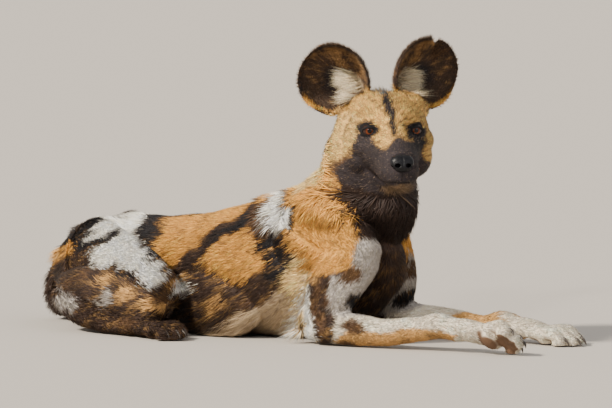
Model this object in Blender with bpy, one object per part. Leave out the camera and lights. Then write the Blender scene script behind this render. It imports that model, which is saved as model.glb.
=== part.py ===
# African wild dog lying on its chest with the head turned to its right, life size.
# The row frame is in metres: +X is forward, +Y the dog's left, +Z up, and the floor is Z = 0.
import math
import random

import bmesh
import bpy
import numpy as np
from mathutils import Euler, Matrix, Vector
from mathutils.bvhtree import BVHTree

# Neighbouring solids keep this much apart
GAP = 0.0003

# Head: the point midway between the eyes, and where the muzzle points
EYE_MIDPOINT = (0.2255, -0.048, 0.3495)
HEAD_YAW = -48.5
HEAD_PITCH = 1.0
EYE_RADIUS = 0.0118
EYE_PLACE = (-0.0018, 0.0372, 0.0)
EYE_OUTWARD = 24.0

# Ears: round cups on a wide root, leaning out and back, open to the front
EAR_RADIUS = 0.0605
EAR_THICKNESS = 0.0042
EAR_DEPTH = 0.034
EAR_ROOT = {"right": (-0.086, 0.0530, 0.0340), "left": (-0.086, 0.0475, 0.0385)}
EAR_LEAN = {"right": 36.0, "left": 29.0}
EAR_BACK = 8.0
EAR_OUTWARD = 22.0
EAR_CENTRE = 0.050
EAR_NOTCH_ANGLE = 108.0
EAR_NOTCH_WIDTH = 8.0
EAR_NOTCH_DEPTH = 0.20

# Triangles of the plain forms, before they are cut into nodes
HEAD_TRIANGLES = 1000
BODY_TRIANGLES = 3200
REGION_TRIANGLES = 104

# Grain of the clay that fuses the forms: for the skull, with the lids on, for the body and for a limb's region
SKULL_VOXEL = 0.0030
LID_VOXEL = 0.0017
BODY_VOXEL = 0.0028
REGION_VOXEL = 0.005

# How far a limb's region reaches past its rings
LIMB_MARGIN = 0.007
FOOT_MARGIN = 0.004
TAIL_MARGIN = 0.006

SIDES = {"right": -1, "left": 1}


# One oval section of a loft: centre, half width, reach up, reach down and the turn of its width about Z
class Ring:
    def __init__(self, at, side, up, down=None, yaw=0.0):
        self.values = np.array([*at, side, up, up if down is None else down, yaw], float)


def clear_scene():
    for obj in list(bpy.data.objects):
        bpy.data.objects.remove(obj)


# Shared mesh tools

def mesh_object(name, bm, recalculate=True):
    if recalculate:
        bmesh.ops.recalc_face_normals(bm, faces=bm.faces)
    mesh = bpy.data.meshes.new(name)
    bm.to_mesh(mesh)
    bm.free()
    obj = bpy.data.objects.new(name, mesh)
    bpy.context.scene.collection.objects.link(obj)
    return obj


def copy_object(obj, name):
    twin = bpy.data.objects.new(name, obj.data.copy())
    bpy.context.scene.collection.objects.link(twin)
    return twin


def apply_modifiers(obj):
    graph = bpy.context.evaluated_depsgraph_get()
    mesh = bpy.data.meshes.new_from_object(obj.evaluated_get(graph))
    obj.modifiers.clear()
    obj.data = mesh


def boolean(obj, operation, tool, solver="EXACT"):
    modifier = obj.modifiers.new(operation, "BOOLEAN")
    modifier.operation = operation
    modifier.object = tool
    modifier.solver = solver
    apply_modifiers(obj)
    bpy.data.objects.remove(tool)


def mesh_volume(faces):
    total = 0.0
    for face in faces:
        a = face.verts[0].co
        for b, c in zip(face.verts[1:-1], face.verts[2:]):
            total += a.dot(b.co.cross(c.co)) / 6
    return total


# Triangles of the mesh, with points closer than a merge distance joined where that keeps it closed
def closed_triangles(mesh):
    best = None
    for merge in (0.000002, 0.00001, 0.0):
        bm = bmesh.new()
        bm.from_mesh(mesh)
        if merge:
            bmesh.ops.remove_doubles(bm, verts=bm.verts, dist=merge)
            bmesh.ops.dissolve_degenerate(bm, dist=merge, edges=bm.edges)
        bmesh.ops.triangulate(bm, faces=bm.faces)
        faults = sum(1 for edge in bm.edges if len(edge.link_faces) != 2)
        if best is None or faults < best[0]:
            if best:
                best[1].free()
            best = (faults, bm)
        else:
            bm.free()
        if faults == 0:
            break
    return best[1]


def connected_shells(bm):
    left = set(bm.faces)
    shells = []
    while left:
        stack = [left.pop()]
        shell = []
        while stack:
            face = stack.pop()
            shell.append(face)
            for edge in face.edges:
                for neighbour in edge.link_faces:
                    if neighbour in left:
                        left.remove(neighbour)
                        stack.append(neighbour)
        shells.append(shell)
    return shells


# Keeps the largest closed surface, and drops scraps and sealed hollows
def keep_largest(obj):
    bm = closed_triangles(obj.data)
    shells = sorted(connected_shells(bm), key=mesh_volume, reverse=True)
    scraps = [face for shell in shells[1:] for face in shell]
    bmesh.ops.delete(bm, geom=scraps, context="FACES")
    loose = [vert for vert in bm.verts if not vert.link_faces]
    bmesh.ops.delete(bm, geom=loose, context="VERTS")
    bm.to_mesh(obj.data)
    bm.free()


def add_ring(bm, centre, across, upward, side, up, down, count):
    verts = []
    for i in range(count):
        angle = 2 * math.pi * i / count
        height = math.sin(angle)
        reach = up if height > 0 else down
        verts.append(bm.verts.new(centre + across * (side * math.cos(angle)) + upward * (reach * height)))
    return verts


def bridge(bm, loops):
    count = len(loops[0])
    for first, second in zip(loops, loops[1:]):
        for i in range(count):
            j = (i + 1) % count
            bm.faces.new((first[i], first[j], second[j], second[i]))
    bm.faces.new(list(reversed(loops[0])))
    bm.faces.new(loops[-1])


# Catmull-Rom values between the rings, so that few rings give a smooth form
def smooth_values(rings, steps):
    keys = np.array([r.values for r in rings])
    keys = np.vstack([2 * keys[0] - keys[1], keys, 2 * keys[-1] - keys[-2]])
    out = []
    for i in range(1, len(keys) - 2):
        before, start, end, after = keys[i - 1], keys[i], keys[i + 1], keys[i + 2]
        for step in range(steps):
            t = step / steps
            bend = 2 * before - 5 * start + 4 * end - after
            twist = 3 * start - before - 3 * end + after
            out.append(0.5 * (2 * start + (end - before) * t + bend * t**2 + twist * t**3))
    out.append(keys[-2])
    return np.array(out)


# A closed, round-ended loft through the rings. Up is the direction of travel crossed with the side.
def add_loft(bm, rings, count=28, steps=5, cap=0.75, grow=0.0):
    values = smooth_values(rings, steps)
    centres = [Vector(v[:3]) for v in values]
    loops = []
    last = len(values) - 1
    for i, v in enumerate(values):
        travel = (centres[min(i + 1, last)] - centres[max(i - 1, 0)]).normalized()
        yaw = math.radians(v[6])
        aside = Vector((-math.sin(yaw), math.cos(yaw), 0))
        aside = (aside - travel * aside.dot(travel)).normalized()
        upward = travel.cross(aside)
        side, up, down = (max(x, 0.001) + grow for x in v[3:6])
        whole = add_ring(bm, centres[i], aside, upward, side, up, down, count)
        if 0 < i < last:
            loops.append(whole)
            continue
        outward = -travel if i == 0 else travel
        length = cap * min(side, (up + down) / 2) + grow
        domes = []
        for turn in (25, 50, 72):
            shrink = math.cos(math.radians(turn))
            at = centres[i] + outward * (length * math.sin(math.radians(turn)))
            domes.append(add_ring(bm, at, aside, upward, side * shrink, up * shrink, down * shrink, count))
        loops.extend([*reversed(domes), whole] if i == 0 else [whole, *domes])
    bridge(bm, loops)


def add_oval(bm, at, radii, turn=(0, 0, 0), detail=3):
    rotation = Euler([math.radians(a) for a in turn]).to_matrix().to_4x4()
    matrix = Matrix.Translation(at) @ rotation @ Matrix.Diagonal((*radii, 1))
    bmesh.ops.create_icosphere(bm, subdivisions=detail, radius=1, matrix=matrix)


def add_moved(bm, piece, matrix):
    piece.transform(matrix)
    mesh = bpy.data.meshes.new("moved")
    piece.to_mesh(mesh)
    piece.free()
    bm.from_mesh(mesh)
    bpy.data.meshes.remove(mesh)


# Fuses overlapping forms into one skin of clay and rounds it off
def fuse(name, bm, voxel, rounds):
    clay = mesh_object(name, bm)
    remesh = clay.modifiers.new("remesh", "REMESH")
    remesh.mode = "VOXEL"
    remesh.voxel_size = voxel
    smooth = clay.modifiers.new("smooth", "SMOOTH")
    smooth.factor = 0.5
    smooth.iterations = rounds
    apply_modifiers(clay)
    return clay


# A block whose flat back face goes through a point, square to a direction
def block(name, at, facing, size, grow=0.0):
    depth, width, height = size
    bm = bmesh.new()
    bmesh.ops.create_cube(bm, size=1)
    for vert in bm.verts:
        x, y, z = vert.co
        vert.co = ((x + 0.5) * depth, y * width, z * height)
        vert.co += Vector((math.copysign(grow, x), math.copysign(grow, y), math.copysign(grow, z)))
    bm.transform(Matrix.Translation(at) @ Vector(facing).to_track_quat("X", "Z").to_matrix().to_4x4())
    return mesh_object(name, bm)


# Torso, from the rump to the front of the chest: x, top, bottom and half width
TORSO = [
    (-0.432, 0.127, 0.050, 0.044),
    (-0.405, 0.151, 0.026, 0.070),
    (-0.360, 0.177, 0.010, 0.088),
    (-0.300, 0.183, 0.004, 0.092),
    (-0.220, 0.186, -0.003, 0.088),
    (-0.140, 0.196, -0.004, 0.095),
    (-0.060, 0.216, -0.003, 0.101),
    (0.010, 0.236, -0.003, 0.098),
    (0.080, 0.250, 0.010, 0.087),
    (0.145, 0.235, 0.040, 0.070),
    (0.182, 0.205, 0.075, 0.048),
]


def add_torso(bm):
    rings = []
    for x, top, bottom, half in TORSO:
        middle = bottom + 0.45 * (top - bottom)
        rings.append(Ring((x, 0, middle), half, top - middle, middle - bottom))
    add_loft(bm, rings, count=40, cap=0.5)
    for side in SIDES.values():
        add_oval(bm, (-0.335, side * 0.045, 0.128), (0.070, 0.045, 0.054))
        add_oval(bm, (-0.100, side * 0.066, 0.060), (0.110, 0.048, 0.062))
    add_oval(bm, (-0.350, 0.050, 0.134), (0.045, 0.035, 0.050))


NECK = [
    Ring((0.020, 0, 0.165), 0.080, 0.062, 0.080),
    Ring((0.074, 0.003, 0.196), 0.084, 0.066, 0.104),
    Ring((0.124, 0.010, 0.242), 0.074, 0.068, 0.110, -8),
    Ring((0.141, 0.006, 0.302), 0.066, 0.055, 0.096, -26),
    Ring((0.159, 0.008, 0.345), 0.068, 0.055, 0.072, -40),
    Ring((0.167, 0.010, 0.365), 0.062, 0.046, 0.056, -45),
]


# Head

# Skull and muzzle in the head's own frame, origin midway between the eyes, +X to the nose:
# x, top, bottom, half width and the height at which it is widest
HEAD = [
    (-0.108, 0.030, -0.030, 0.040, 0.0),
    (-0.094, 0.048, -0.054, 0.058, -0.004),
    (-0.070, 0.059, -0.076, 0.068, -0.010),
    (-0.042, 0.058, -0.084, 0.069, -0.018),
    (-0.014, 0.045, -0.085, 0.060, -0.024),
    (0.010, 0.022, -0.085, 0.046, -0.032),
    (0.030, 0.003, -0.086, 0.038, -0.040),
    (0.055, -0.009, -0.087, 0.0335, -0.048),
    (0.080, -0.018, -0.088, 0.0315, -0.054),
    (0.098, -0.025, -0.085, 0.0265, -0.057),
    (0.106, -0.032, -0.078, 0.018, -0.057),
]

# The lips meet along this line, from the corner of the mouth to the front: x, z
MOUTH = [(0.010, -0.057), (0.030, -0.0700), (0.052, -0.0755), (0.080, -0.0765), (0.103, -0.0745)]

NOSE_CENTRE = (0.1040, 0, -0.0425)
NOSE_SIZE = (0.0120, 0.0180, 0.0128)


def head_matrix():
    return (
        Matrix.Translation(EYE_MIDPOINT)
        @ Matrix.Rotation(math.radians(HEAD_YAW), 4, "Z")
        @ Matrix.Rotation(math.radians(HEAD_PITCH), 4, "Y")
    )


def head_forms():
    bm = bmesh.new()
    rings = [Ring((x, 0, wide), half, top - wide, wide - bottom) for x, top, bottom, half, wide in HEAD]
    add_loft(bm, rings, count=36, cap=0.5)
    for side in SIDES.values():
        # cheekbone, jaw muscle, brow, temple, ear root and the upper lip
        add_oval(bm, (-0.030, side * 0.046, -0.022), (0.046, 0.026, 0.024), (0, 8, -side * 24))
        add_oval(bm, (-0.050, side * 0.044, -0.046), (0.042, 0.030, 0.036))
        add_oval(bm, (-0.004, side * 0.031, 0.010), (0.020, 0.018, 0.0145))
        add_oval(bm, (-0.062, side * 0.034, 0.030), (0.040, 0.030, 0.028))
        add_oval(bm, (-0.084, side * 0.046, 0.026), (0.028, 0.028, 0.028))
        add_oval(bm, (0.066, side * 0.0165, -0.060), (0.042, 0.0175, 0.0165))
    return bm


# Soft pushes on the head clay: centre, reach and move, the same on both sides
HEAD_PUSHES = [
    ((0.006, 0.040, 0.000), 0.015, (-0.0050, -0.0030, 0.0)),
    ((0.018, 0.024, 0.001), 0.016, (-0.0130, -0.0080, 0.0)),
    ((0.030, 0.026, -0.014), 0.014, (-0.0030, -0.0020, 0.0)),
    ((0.020, 0.0, 0.018), 0.014, (-0.0030, 0.0, -0.0030)),
]


def push_points(points, pushes):
    for centre, reach, move in pushes:
        for side in SIDES.values():
            share = 0.5 if centre[1] == 0 else 1.0
            away = points - np.array((centre[0], side * centre[1], centre[2]))
            weight = share * np.exp(-np.sum(away**2, axis=1) / reach**2)
            points += weight[:, None] * np.array((move[0], side * move[1], move[2]))


def sculpt(obj, change):
    mesh = obj.data
    points = np.empty(len(mesh.vertices) * 3)
    mesh.vertices.foreach_get("co", points)
    points = points.reshape(-1, 3)
    change(points)
    mesh.vertices.foreach_set("co", points.ravel())
    mesh.update()


# Detail is kept where the weight is high
def decimate(obj, triangles, weight=None):
    mesh = obj.data
    if weight:
        group = obj.vertex_groups.new(name="detail")
        for vert in mesh.vertices:
            group.add([vert.index], weight(vert.co), "REPLACE")
    modifier = obj.modifiers.new("decimate", "DECIMATE")
    mesh.calc_loop_triangles()
    modifier.ratio = triangles / len(mesh.loop_triangles)
    if weight:
        modifier.vertex_group = "detail"
        modifier.invert_vertex_group = True
        modifier.vertex_group_factor = 1.0
    apply_modifiers(obj)
    obj.vertex_groups.clear()


def head_detail(point):
    muzzle = math.exp(-((point - Vector((0.09, 0, -0.06))).length / 0.04) ** 2)
    eyes = max(math.exp(-((point - Vector((0.0, s * 0.037, 0))).length / 0.028) ** 2) for s in (-1, 1))
    return min(1.0, 0.12 + 0.6 * muzzle + 0.9 * eyes)


# Ear cup in its own frame: X to the front, Y to the outer side, Z to the tip, origin at the root.
# Its rim is nearly round, and the left ear has an old notch in it.
def ear_rim(angle, side_name):
    wave = 0.025 * math.sin(3 * angle + 0.6)
    if side_name != "left":
        return 1.0 + wave
    degrees = (math.degrees(angle) + 90) % 360 - 90
    notch = EAR_NOTCH_DEPTH * max(0.0, 1.0 - abs(degrees - EAR_NOTCH_ANGLE) / EAR_NOTCH_WIDTH)
    tall = 0.035 * math.exp(-(((degrees - 85) / 30) ** 2))
    flat = 0.075 * math.exp(-(((degrees - 12) / 28) ** 2))
    return 1.0 + wave + tall - flat - notch


def ear_angles(side_name, sectors):
    angles = [math.tau * k / sectors for k in range(sectors)]
    if side_name == "left":
        notch = math.radians(EAR_NOTCH_ANGLE)
        width = math.radians(EAR_NOTCH_WIDTH)
        angles = [angle for angle in angles if abs(angle - notch) > 1.5 * width]
        angles += [notch - width, notch, notch + width]
    return sorted(angles)


# A point of the cup: share goes from 0 at the bottom of the cup to 1 at the rim
def ear_point(side_name, share, angle, inner):
    reach = EAR_RADIUS * ear_rim(angle, side_name) * share
    depth = (1 - share**2.2) ** 0.8
    across = reach * math.cos(angle) * 0.98
    along = reach * math.sin(angle)
    lip = 0.004 * share**4
    point = Vector((lip - EAR_DEPTH * depth, across - 0.004 * depth, EAR_CENTRE + along - 0.018 * depth))
    if not inner:
        thickness = EAR_THICKNESS * (1.15 - 0.5 * share)
        point.x -= thickness * (0.9 if share < 1 else 0.45)
        if share > 0.3:
            point += Vector((0, across, along)).normalized() * (thickness * 0.35 * share)
    return point


def ear_cup(side_name, sectors=20, rings=5):
    bm = bmesh.new()
    angles = ear_angles(side_name, sectors)
    count = len(angles)
    rims = []
    for inner in (True, False):
        hub = bm.verts.new(ear_point(side_name, 0, 0, inner))
        loops = []
        for ring in range(1, rings + 1):
            loops.append([bm.verts.new(ear_point(side_name, ring / rings, a, inner)) for a in angles])
        for k in range(count):
            m = (k + 1) % count
            bm.faces.new((hub, loops[0][k], loops[0][m]))
            for near, far in zip(loops, loops[1:]):
                bm.faces.new((near[k], far[k], far[m], near[m]))
        rims.append(loops[-1])
    for k in range(count):
        m = (k + 1) % count
        bm.faces.new((rims[0][k], rims[1][k], rims[1][m], rims[0][m]))
    return bm


def ear_matrix(side_name):
    side = SIDES[side_name]
    x, y, z = EAR_ROOT[side_name]
    return (
        Matrix.Translation((x, side * y, z))
        @ Matrix.Rotation(-side * math.radians(EAR_LEAN[side_name]), 4, "X")
        @ Matrix.Rotation(-math.radians(EAR_BACK), 4, "Y")
        @ Matrix.Rotation(side * math.radians(EAR_OUTWARD), 4, "Z")
        @ Matrix.Diagonal((1, side, 1, 1))
    )


def eyeball(name, side, grow=0.0):
    bm = bmesh.new()
    bmesh.ops.create_uvsphere(bm, u_segments=14, v_segments=9, radius=EYE_RADIUS + grow, matrix=eye_matrix(side))
    return mesh_object(name, bm)


# Lids: a ring with an almond opening that lies on the eyeball and sinks into the face
LID_OPENING = (0.0106, 0.0068, 0.0060)
LID_THICKNESS = 0.0026


def eye_matrix(side):
    x, y, z = EYE_PLACE
    return (
        Matrix.Translation((x, side * y, z))
        @ Matrix.Rotation(side * math.radians(EYE_OUTWARD), 4, "Z")
        @ Matrix.Rotation(-side * math.radians(8), 4, "X")
    )


def add_lid_ring(bm, side, sectors=32):
    ring = bmesh.new()
    half, above, below = LID_OPENING
    profile = [(-0.0020, -0.0030), (-0.0020, LID_THICKNESS * 0.9), (0.0030, LID_THICKNESS), (0.0095, -0.0060)]
    loops = []
    for out, lift in profile:
        loop = []
        for k in range(sectors):
            angle = 2 * math.pi * k / sectors
            tall = above if math.sin(angle) > 0 else below
            y = (half + out) * math.cos(angle)
            z = (tall + out) * math.sin(angle) * abs(math.sin(angle)) ** 0.25
            spread = math.hypot(y, z) / EYE_RADIUS
            direction = Vector((math.cos(min(spread, 1.5)), 0, 0))
            flat = Vector((0, y, z)).normalized() * math.sin(min(spread, 1.5))
            loop.append(ring.verts.new((direction + flat) * (EYE_RADIUS + GAP + lift)))
        loops.append(loop)
    for near, far in zip(loops, loops[1:] + loops[:1]):
        for k in range(sectors):
            m = (k + 1) % sectors
            ring.faces.new((near[k], near[m], far[m], far[k]))
    bmesh.ops.recalc_face_normals(ring, faces=ring.faces)
    add_moved(bm, ring, eye_matrix(side))


# The almond opening between the lids, as a cone that widens away from the eyeball
def lid_opening(side, sectors=20):
    bm = bmesh.new()
    half, above, below = LID_OPENING
    loops = []
    for reach in (0.4 * EYE_RADIUS, 1.9 * EYE_RADIUS):
        loop = []
        for k in range(sectors):
            angle = 2 * math.pi * k / sectors
            tall = above if math.sin(angle) > 0 else below
            y = half * math.cos(angle)
            z = tall * math.sin(angle)
            spread = math.hypot(y, z) / EYE_RADIUS
            direction = Vector((math.cos(spread), 0, 0)) + Vector((0, y, z)).normalized() * math.sin(spread)
            loop.append(bm.verts.new(direction * reach))
        loops.append(loop)
    bridge(bm, loops)
    bm.transform(eye_matrix(side))
    return mesh_object("lid_opening", bm)


# Nose leather: a box-like dome, wide above and narrow below
def nose_solid(name, grow=0.0):
    bm = bmesh.new()
    bmesh.ops.create_uvsphere(bm, u_segments=14, v_segments=9, radius=1)
    for vert in bm.verts:
        x, y, z = vert.co
        length = (abs(x) ** 2.6 + abs(y) ** 2.6 + abs(z) ** 2.6) ** (1 / 2.6)
        x, y, z = x / length, y / length, z / length
        narrow = 1.0 - 0.30 * max(0.0, -z) ** 1.5
        vert.co = (
            NOSE_CENTRE[0] + x * (NOSE_SIZE[0] + grow) - 0.0035 * (z - 1),
            y * (NOSE_SIZE[1] * narrow + grow),
            NOSE_CENTRE[2] + z * (NOSE_SIZE[2] + grow),
        )
    return mesh_object(name, bm)


def cut_nostrils(nose):
    for side in SIDES.values():
        bm = bmesh.new()
        add_oval(bm, (0.1180, side * 0.0075, -0.0430), (0.0060, 0.0038, 0.0040), detail=1)
        boolean(nose, "DIFFERENCE", mesh_object("nostril", bm), "MANIFOLD")
        bm = bmesh.new()
        add_oval(bm, (0.1120, side * 0.0140, -0.0470), (0.0085, 0.0055, 0.0020), (side * 20, 0, side * 40), detail=1)
        boolean(nose, "DIFFERENCE", mesh_object("nostril_slit", bm), "MANIFOLD")
    keep_largest(nose)


# The space below the lips, whose top face follows the mouth line
def mouth_region(name, grow=0.0):
    front = (0.16, MOUTH[-1][1])
    outline = [*MOUTH, front, (0.16, -0.14), (-0.02, -0.14)]
    bm = bmesh.new()
    middle = Vector((0.06, 0, -0.10))
    loops = []
    for y in (-0.08, 0.08):
        loop = []
        for x, z in outline:
            at = Vector((x, y, z))
            away = (at - middle) * Vector((1, 0, 1))
            loop.append(bm.verts.new(at + away.normalized() * (grow * 1.6)))
        loops.append(loop)
    bridge(bm, loops)
    return mesh_object(name, bm)


def build_head():
    bm = head_forms()
    neck = bmesh.new()
    add_loft(neck, NECK, count=36)
    add_moved(bm, neck, head_matrix().inverted())
    head = fuse("skull", bm, SKULL_VOXEL, 5)
    sculpt(head, lambda points: push_points(points, HEAD_PUSHES))
    bm = bmesh.new()
    bm.from_mesh(head.data)
    bpy.data.objects.remove(head)
    for side in SIDES.values():
        add_lid_ring(bm, side)
    head = fuse("head", bm, LID_VOXEL, 2)
    boolean(head, "INTERSECT", head_block("crop", 0.012))
    decimate(head, HEAD_TRIANGLES, head_detail)
    for side in SIDES.values():
        boolean(head, "DIFFERENCE", lid_opening(side))
    return head


THROAT = (-0.020, 0, -0.106)
NAPE = (-0.138, 0, -0.032)


def head_block(name, grow=0.0):
    chord = Vector(NAPE) - Vector(THROAT)
    facing = Vector((0, 1, 0)).cross(chord).normalized()
    middle = (Vector(NAPE) + Vector(THROAT)) / 2
    return block(name, middle - facing * grow, facing, (0.40, 0.34, 0.50))


def place_in_row(obj):
    obj.data.transform(head_matrix())


def make_head_nodes():
    head = build_head()
    nodes = {}
    for name, side in SIDES.items():
        boolean(head, "DIFFERENCE", eyeball("socket", side, GAP))
        nodes["eye_" + name] = eyeball("eye_" + name, side)
    boolean(head, "DIFFERENCE", nose_solid("nose_socket", GAP * 1.5))
    nose = nose_solid("nose")
    cut_nostrils(nose)
    nodes["nose"] = nose
    for name, side in SIDES.items():
        bm = ear_cup(name)
        bm.transform(ear_matrix(name))
        boolean(head, "UNION", mesh_object("ear_form", bm))
    for name, side in SIDES.items():
        matrix = ear_matrix(name)
        at = matrix @ Vector((0, 0, 0.009))
        facing = matrix.to_3x3() @ Vector((0.25, 0, 1))
        ear = copy_object(head, "ear_" + name)
        boolean(ear, "INTERSECT", block("ear_block", at, facing, (0.14, 0.20, 0.16)))
        keep_largest(ear)
        boolean(head, "DIFFERENCE", block("ear_block", at - facing.normalized() * GAP, facing, (0.15, 0.21, 0.17)))
        nodes["ear_" + name] = ear
    jaw = copy_object(head, "jaw")
    boolean(jaw, "INTERSECT", mouth_region("mouth"))
    keep_largest(jaw)
    boolean(head, "DIFFERENCE", mouth_region("mouth", GAP))
    boolean(head, "INTERSECT", head_block("head_block"))
    keep_largest(head)
    nodes["jaw"] = jaw
    nodes["head"] = head
    for node in nodes.values():
        place_in_row(node)
    return nodes


# Legs

def foreleg(side):
    near = side == SIDES["right"]
    point = (0.178, side * 0.074, 0.150) if near else (0.142, side * 0.072, 0.150)
    middle = 0.146 if near else 0.136
    wrist_lift = 0.040 if near else 0.028
    arm = [
        Ring((0.058, side * 0.064, 0.205), 0.024, 0.040),
        Ring((0.115, side * 0.070, 0.183), 0.030, 0.044),
        Ring(point, 0.032, 0.040, 0.048),
        Ring((middle, side * 0.092, 0.090), 0.033, 0.044, 0.056),
        Ring((0.126, side * 0.103, 0.040), 0.028, 0.034, 0.034),
    ]
    forearm = [
        Ring((0.124, side * 0.105, 0.027), 0.028, 0.029),
        Ring((0.172, side * 0.105, 0.027), 0.030, 0.028),
        Ring((0.240, side * 0.102, 0.024), 0.0235, 0.0245),
        Ring((0.310, side * 0.099, wrist_lift - 0.007), 0.0215, 0.0210),
        Ring((0.350, side * 0.097, wrist_lift), 0.0235, 0.0225),
        Ring((0.385, side * 0.096, wrist_lift - 0.007), 0.0225, 0.0185),
    ]
    return arm, forearm


def hind_leg(side):
    thigh = [
        Ring((-0.352, side * 0.058, 0.112), 0.050, 0.070, 0.070),
        Ring((-0.295, side * 0.092, 0.104), 0.046, 0.068, 0.066),
        Ring((-0.225, side * 0.122, 0.090), 0.040, 0.058, 0.060),
        Ring((-0.172, side * 0.138, 0.072), 0.038, 0.044, 0.054),
    ]
    shank = [
        Ring((-0.178, side * 0.146, 0.062), 0.034, 0.040, 0.050),
        Ring((-0.235, side * 0.146, 0.074), 0.034, 0.040, 0.042),
        Ring((-0.305, side * 0.134, 0.084), 0.026, 0.034, 0.028),
        Ring((-0.362, side * 0.118, 0.078), 0.018, 0.022, 0.020),
    ]
    foot = [
        Ring((-0.368, side * 0.122, 0.058), 0.0200, 0.026, 0.026),
        Ring((-0.330, side * 0.130, 0.038), 0.0215, 0.030, 0.030),
        Ring((-0.270, side * 0.142, 0.022), 0.0205, 0.022, 0.022),
        Ring((-0.215, side * 0.153, 0.017), 0.0210, 0.018, 0.018),
    ]
    return thigh, shank, foot


# Where each paw stands: position, then roll, pitch and yaw in degrees, toe reach and toe spacing
PAWS = {
    "forepaw_right": ((0.430, -0.099, 0.031), (-42, 5, 1), 0.031, 0.0145),
    "forepaw_left": ((0.414, 0.096, 0.019), (4, 7, 0), 0.037, 0.0145),
    "hind_foot_right": ((-0.178, -0.160, 0.016), (0, 3, -14), 0.032, 0.0130),
    "hind_foot_left": ((-0.178, 0.160, 0.016), (0, 3, 14), 0.032, 0.0130),
}
TOES = ((-1.5, 0.62), (-0.5, 1.0), (0.5, 1.0), (1.5, 0.62))


def paw_matrix(name):
    at, turn, _, _ = PAWS[name]
    roll, pitch, yaw = (math.radians(a) for a in turn)
    return (
        Matrix.Translation(at)
        @ Matrix.Rotation(yaw, 4, "Z")
        @ Matrix.Rotation(pitch, 4, "Y")
        @ Matrix.Rotation(roll, 4, "X")
    )


# Four arched toes with their pads in front of the broad pad, +X forward and +Z the back of the paw
def add_paw(bm, name):
    reach, spread = PAWS[name][2:]
    paw = bmesh.new()
    palm = [
        Ring((-0.062, 0, 0.004), 0.0200, 0.0175),
        Ring((-0.030, 0, 0.003), 0.0225, 0.0165),
        Ring((0.004, 0, 0.000), 0.0250, 0.0150, 0.014),
        Ring((0.024, 0, -0.002), 0.0255, 0.0125, 0.012),
    ]
    add_loft(paw, palm, count=20)
    for place, forward in TOES:
        across = place * spread
        tip = 0.040 + reach * forward
        toe = [
            Ring((0.016, across * 0.80, 0.002), 0.0085, 0.0100),
            Ring((0.016 + 0.58 * (tip - 0.016), across, 0.0065), 0.0090, 0.0100),
            Ring((tip, across * 1.04, -0.003), 0.0085, 0.0088),
        ]
        add_loft(paw, toe, count=14)
        add_oval(paw, (tip - 0.006, across * 1.04, -0.0095), (0.0130, 0.0090, 0.0070), detail=2)
    add_oval(paw, (0.022, 0, -0.011), (0.017, 0.0205, 0.0080), detail=2)
    add_oval(paw, (0.045, 0, -0.003), (0.024, 0.0210, 0.0085), detail=2)
    add_moved(bm, paw, paw_matrix(name))


CLAW_LENGTH = 0.0175
CLAW_RADIUS = 0.0031
CLAW_SUNK = 0.0055


# A short horn cone that bends down over the toe
def claw_solid(name, paw, place, forward, grow=0.0):
    reach, spread = PAWS[paw][2:]
    tip = 0.040 + reach * forward
    bm = bmesh.new()
    loops = []
    for step in range(4):
        t = step / 3
        radius = CLAW_RADIUS * (1 - 0.80 * t**1.3) + grow
        travel = t * CLAW_LENGTH - CLAW_SUNK
        droop = math.radians(18 + 34 * t)
        at = Vector((tip + 0.0075 + travel * math.cos(droop), place * spread * 1.04, 0.0010 - travel * math.sin(droop)))
        along = Vector((math.cos(droop), 0, -math.sin(droop)))
        upward = Vector((math.sin(droop), 0, math.cos(droop)))
        if step == 0:
            at -= along * grow
        loops.append(add_ring(bm, at, Vector((0, 1, 0)), upward, radius * 0.75, radius, radius, 6))
    bridge(bm, loops)
    bm.transform(paw_matrix(paw))
    return mesh_object(name, bm)


TAIL = [
    Ring((-0.405, 0, 0.136), 0.030, 0.028),
    Ring((-0.440, 0.000, 0.110), 0.0200, 0.0200),
    Ring((-0.460, 0.004, 0.070), 0.0165, 0.0165),
    Ring((-0.474, 0.030, 0.030), 0.0165, 0.0165),
    Ring((-0.474, 0.075, 0.020), 0.0165, 0.0165),
    Ring((-0.452, 0.125, 0.020), 0.0165, 0.0165),
    Ring((-0.414, 0.168, 0.020), 0.0170, 0.0170),
    Ring((-0.366, 0.200, 0.020), 0.0160, 0.0160),
    Ring((-0.330, 0.214, 0.018), 0.0090, 0.0090),
]


def paw_detail(point):
    forepaws = 0.5 + 0.5 * math.tanh((point.x - 0.44) / 0.02)
    hind = math.exp(-((abs(point.y) - 0.165) / 0.03) ** 2 - ((point.x + 0.150) / 0.03) ** 2 - (point.z / 0.04) ** 2)
    return 0.12 + 0.55 * max(forepaws, hind)


# All the space above the floor
def floor_block():
    return block("above_floor", (0, 0, 0), (0, 0, 1), (1.0, 2.0, 2.0))


def build_body():
    bm = bmesh.new()
    add_torso(bm)
    add_loft(bm, NECK, count=36)
    for side in SIDES.values():
        arm, forearm = foreleg(side)
        thigh, shank, foot = hind_leg(side)
        for rings in (arm, forearm, thigh, shank, foot):
            add_loft(bm, rings, count=24)
        add_oval(bm, (0.104, side * 0.103, 0.036), (0.022, 0.019, 0.034))
        add_oval(bm, (0.072, side * 0.070, 0.168), (0.058, 0.030, 0.076), (0, 28, 0))
    for name in PAWS:
        add_paw(bm, name)
    add_loft(bm, TAIL, count=20)
    # The head's own forms are left in, so that the neck meets it at full width
    add_moved(bm, head_forms(), head_matrix())
    body = fuse("torso", bm, BODY_VOXEL, 5)
    decimate(body, BODY_TRIANGLES, paw_detail)
    boolean(body, "INTERSECT", floor_block())
    return body


# The space a limb takes, a little wider than the limb itself
def loft_region(rings, grow):
    bm = bmesh.new()
    add_loft(bm, rings, count=20, steps=4, grow=grow)
    region = fuse("region", bm, REGION_VOXEL, 3)
    decimate(region, REGION_TRIANGLES)
    return region


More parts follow.
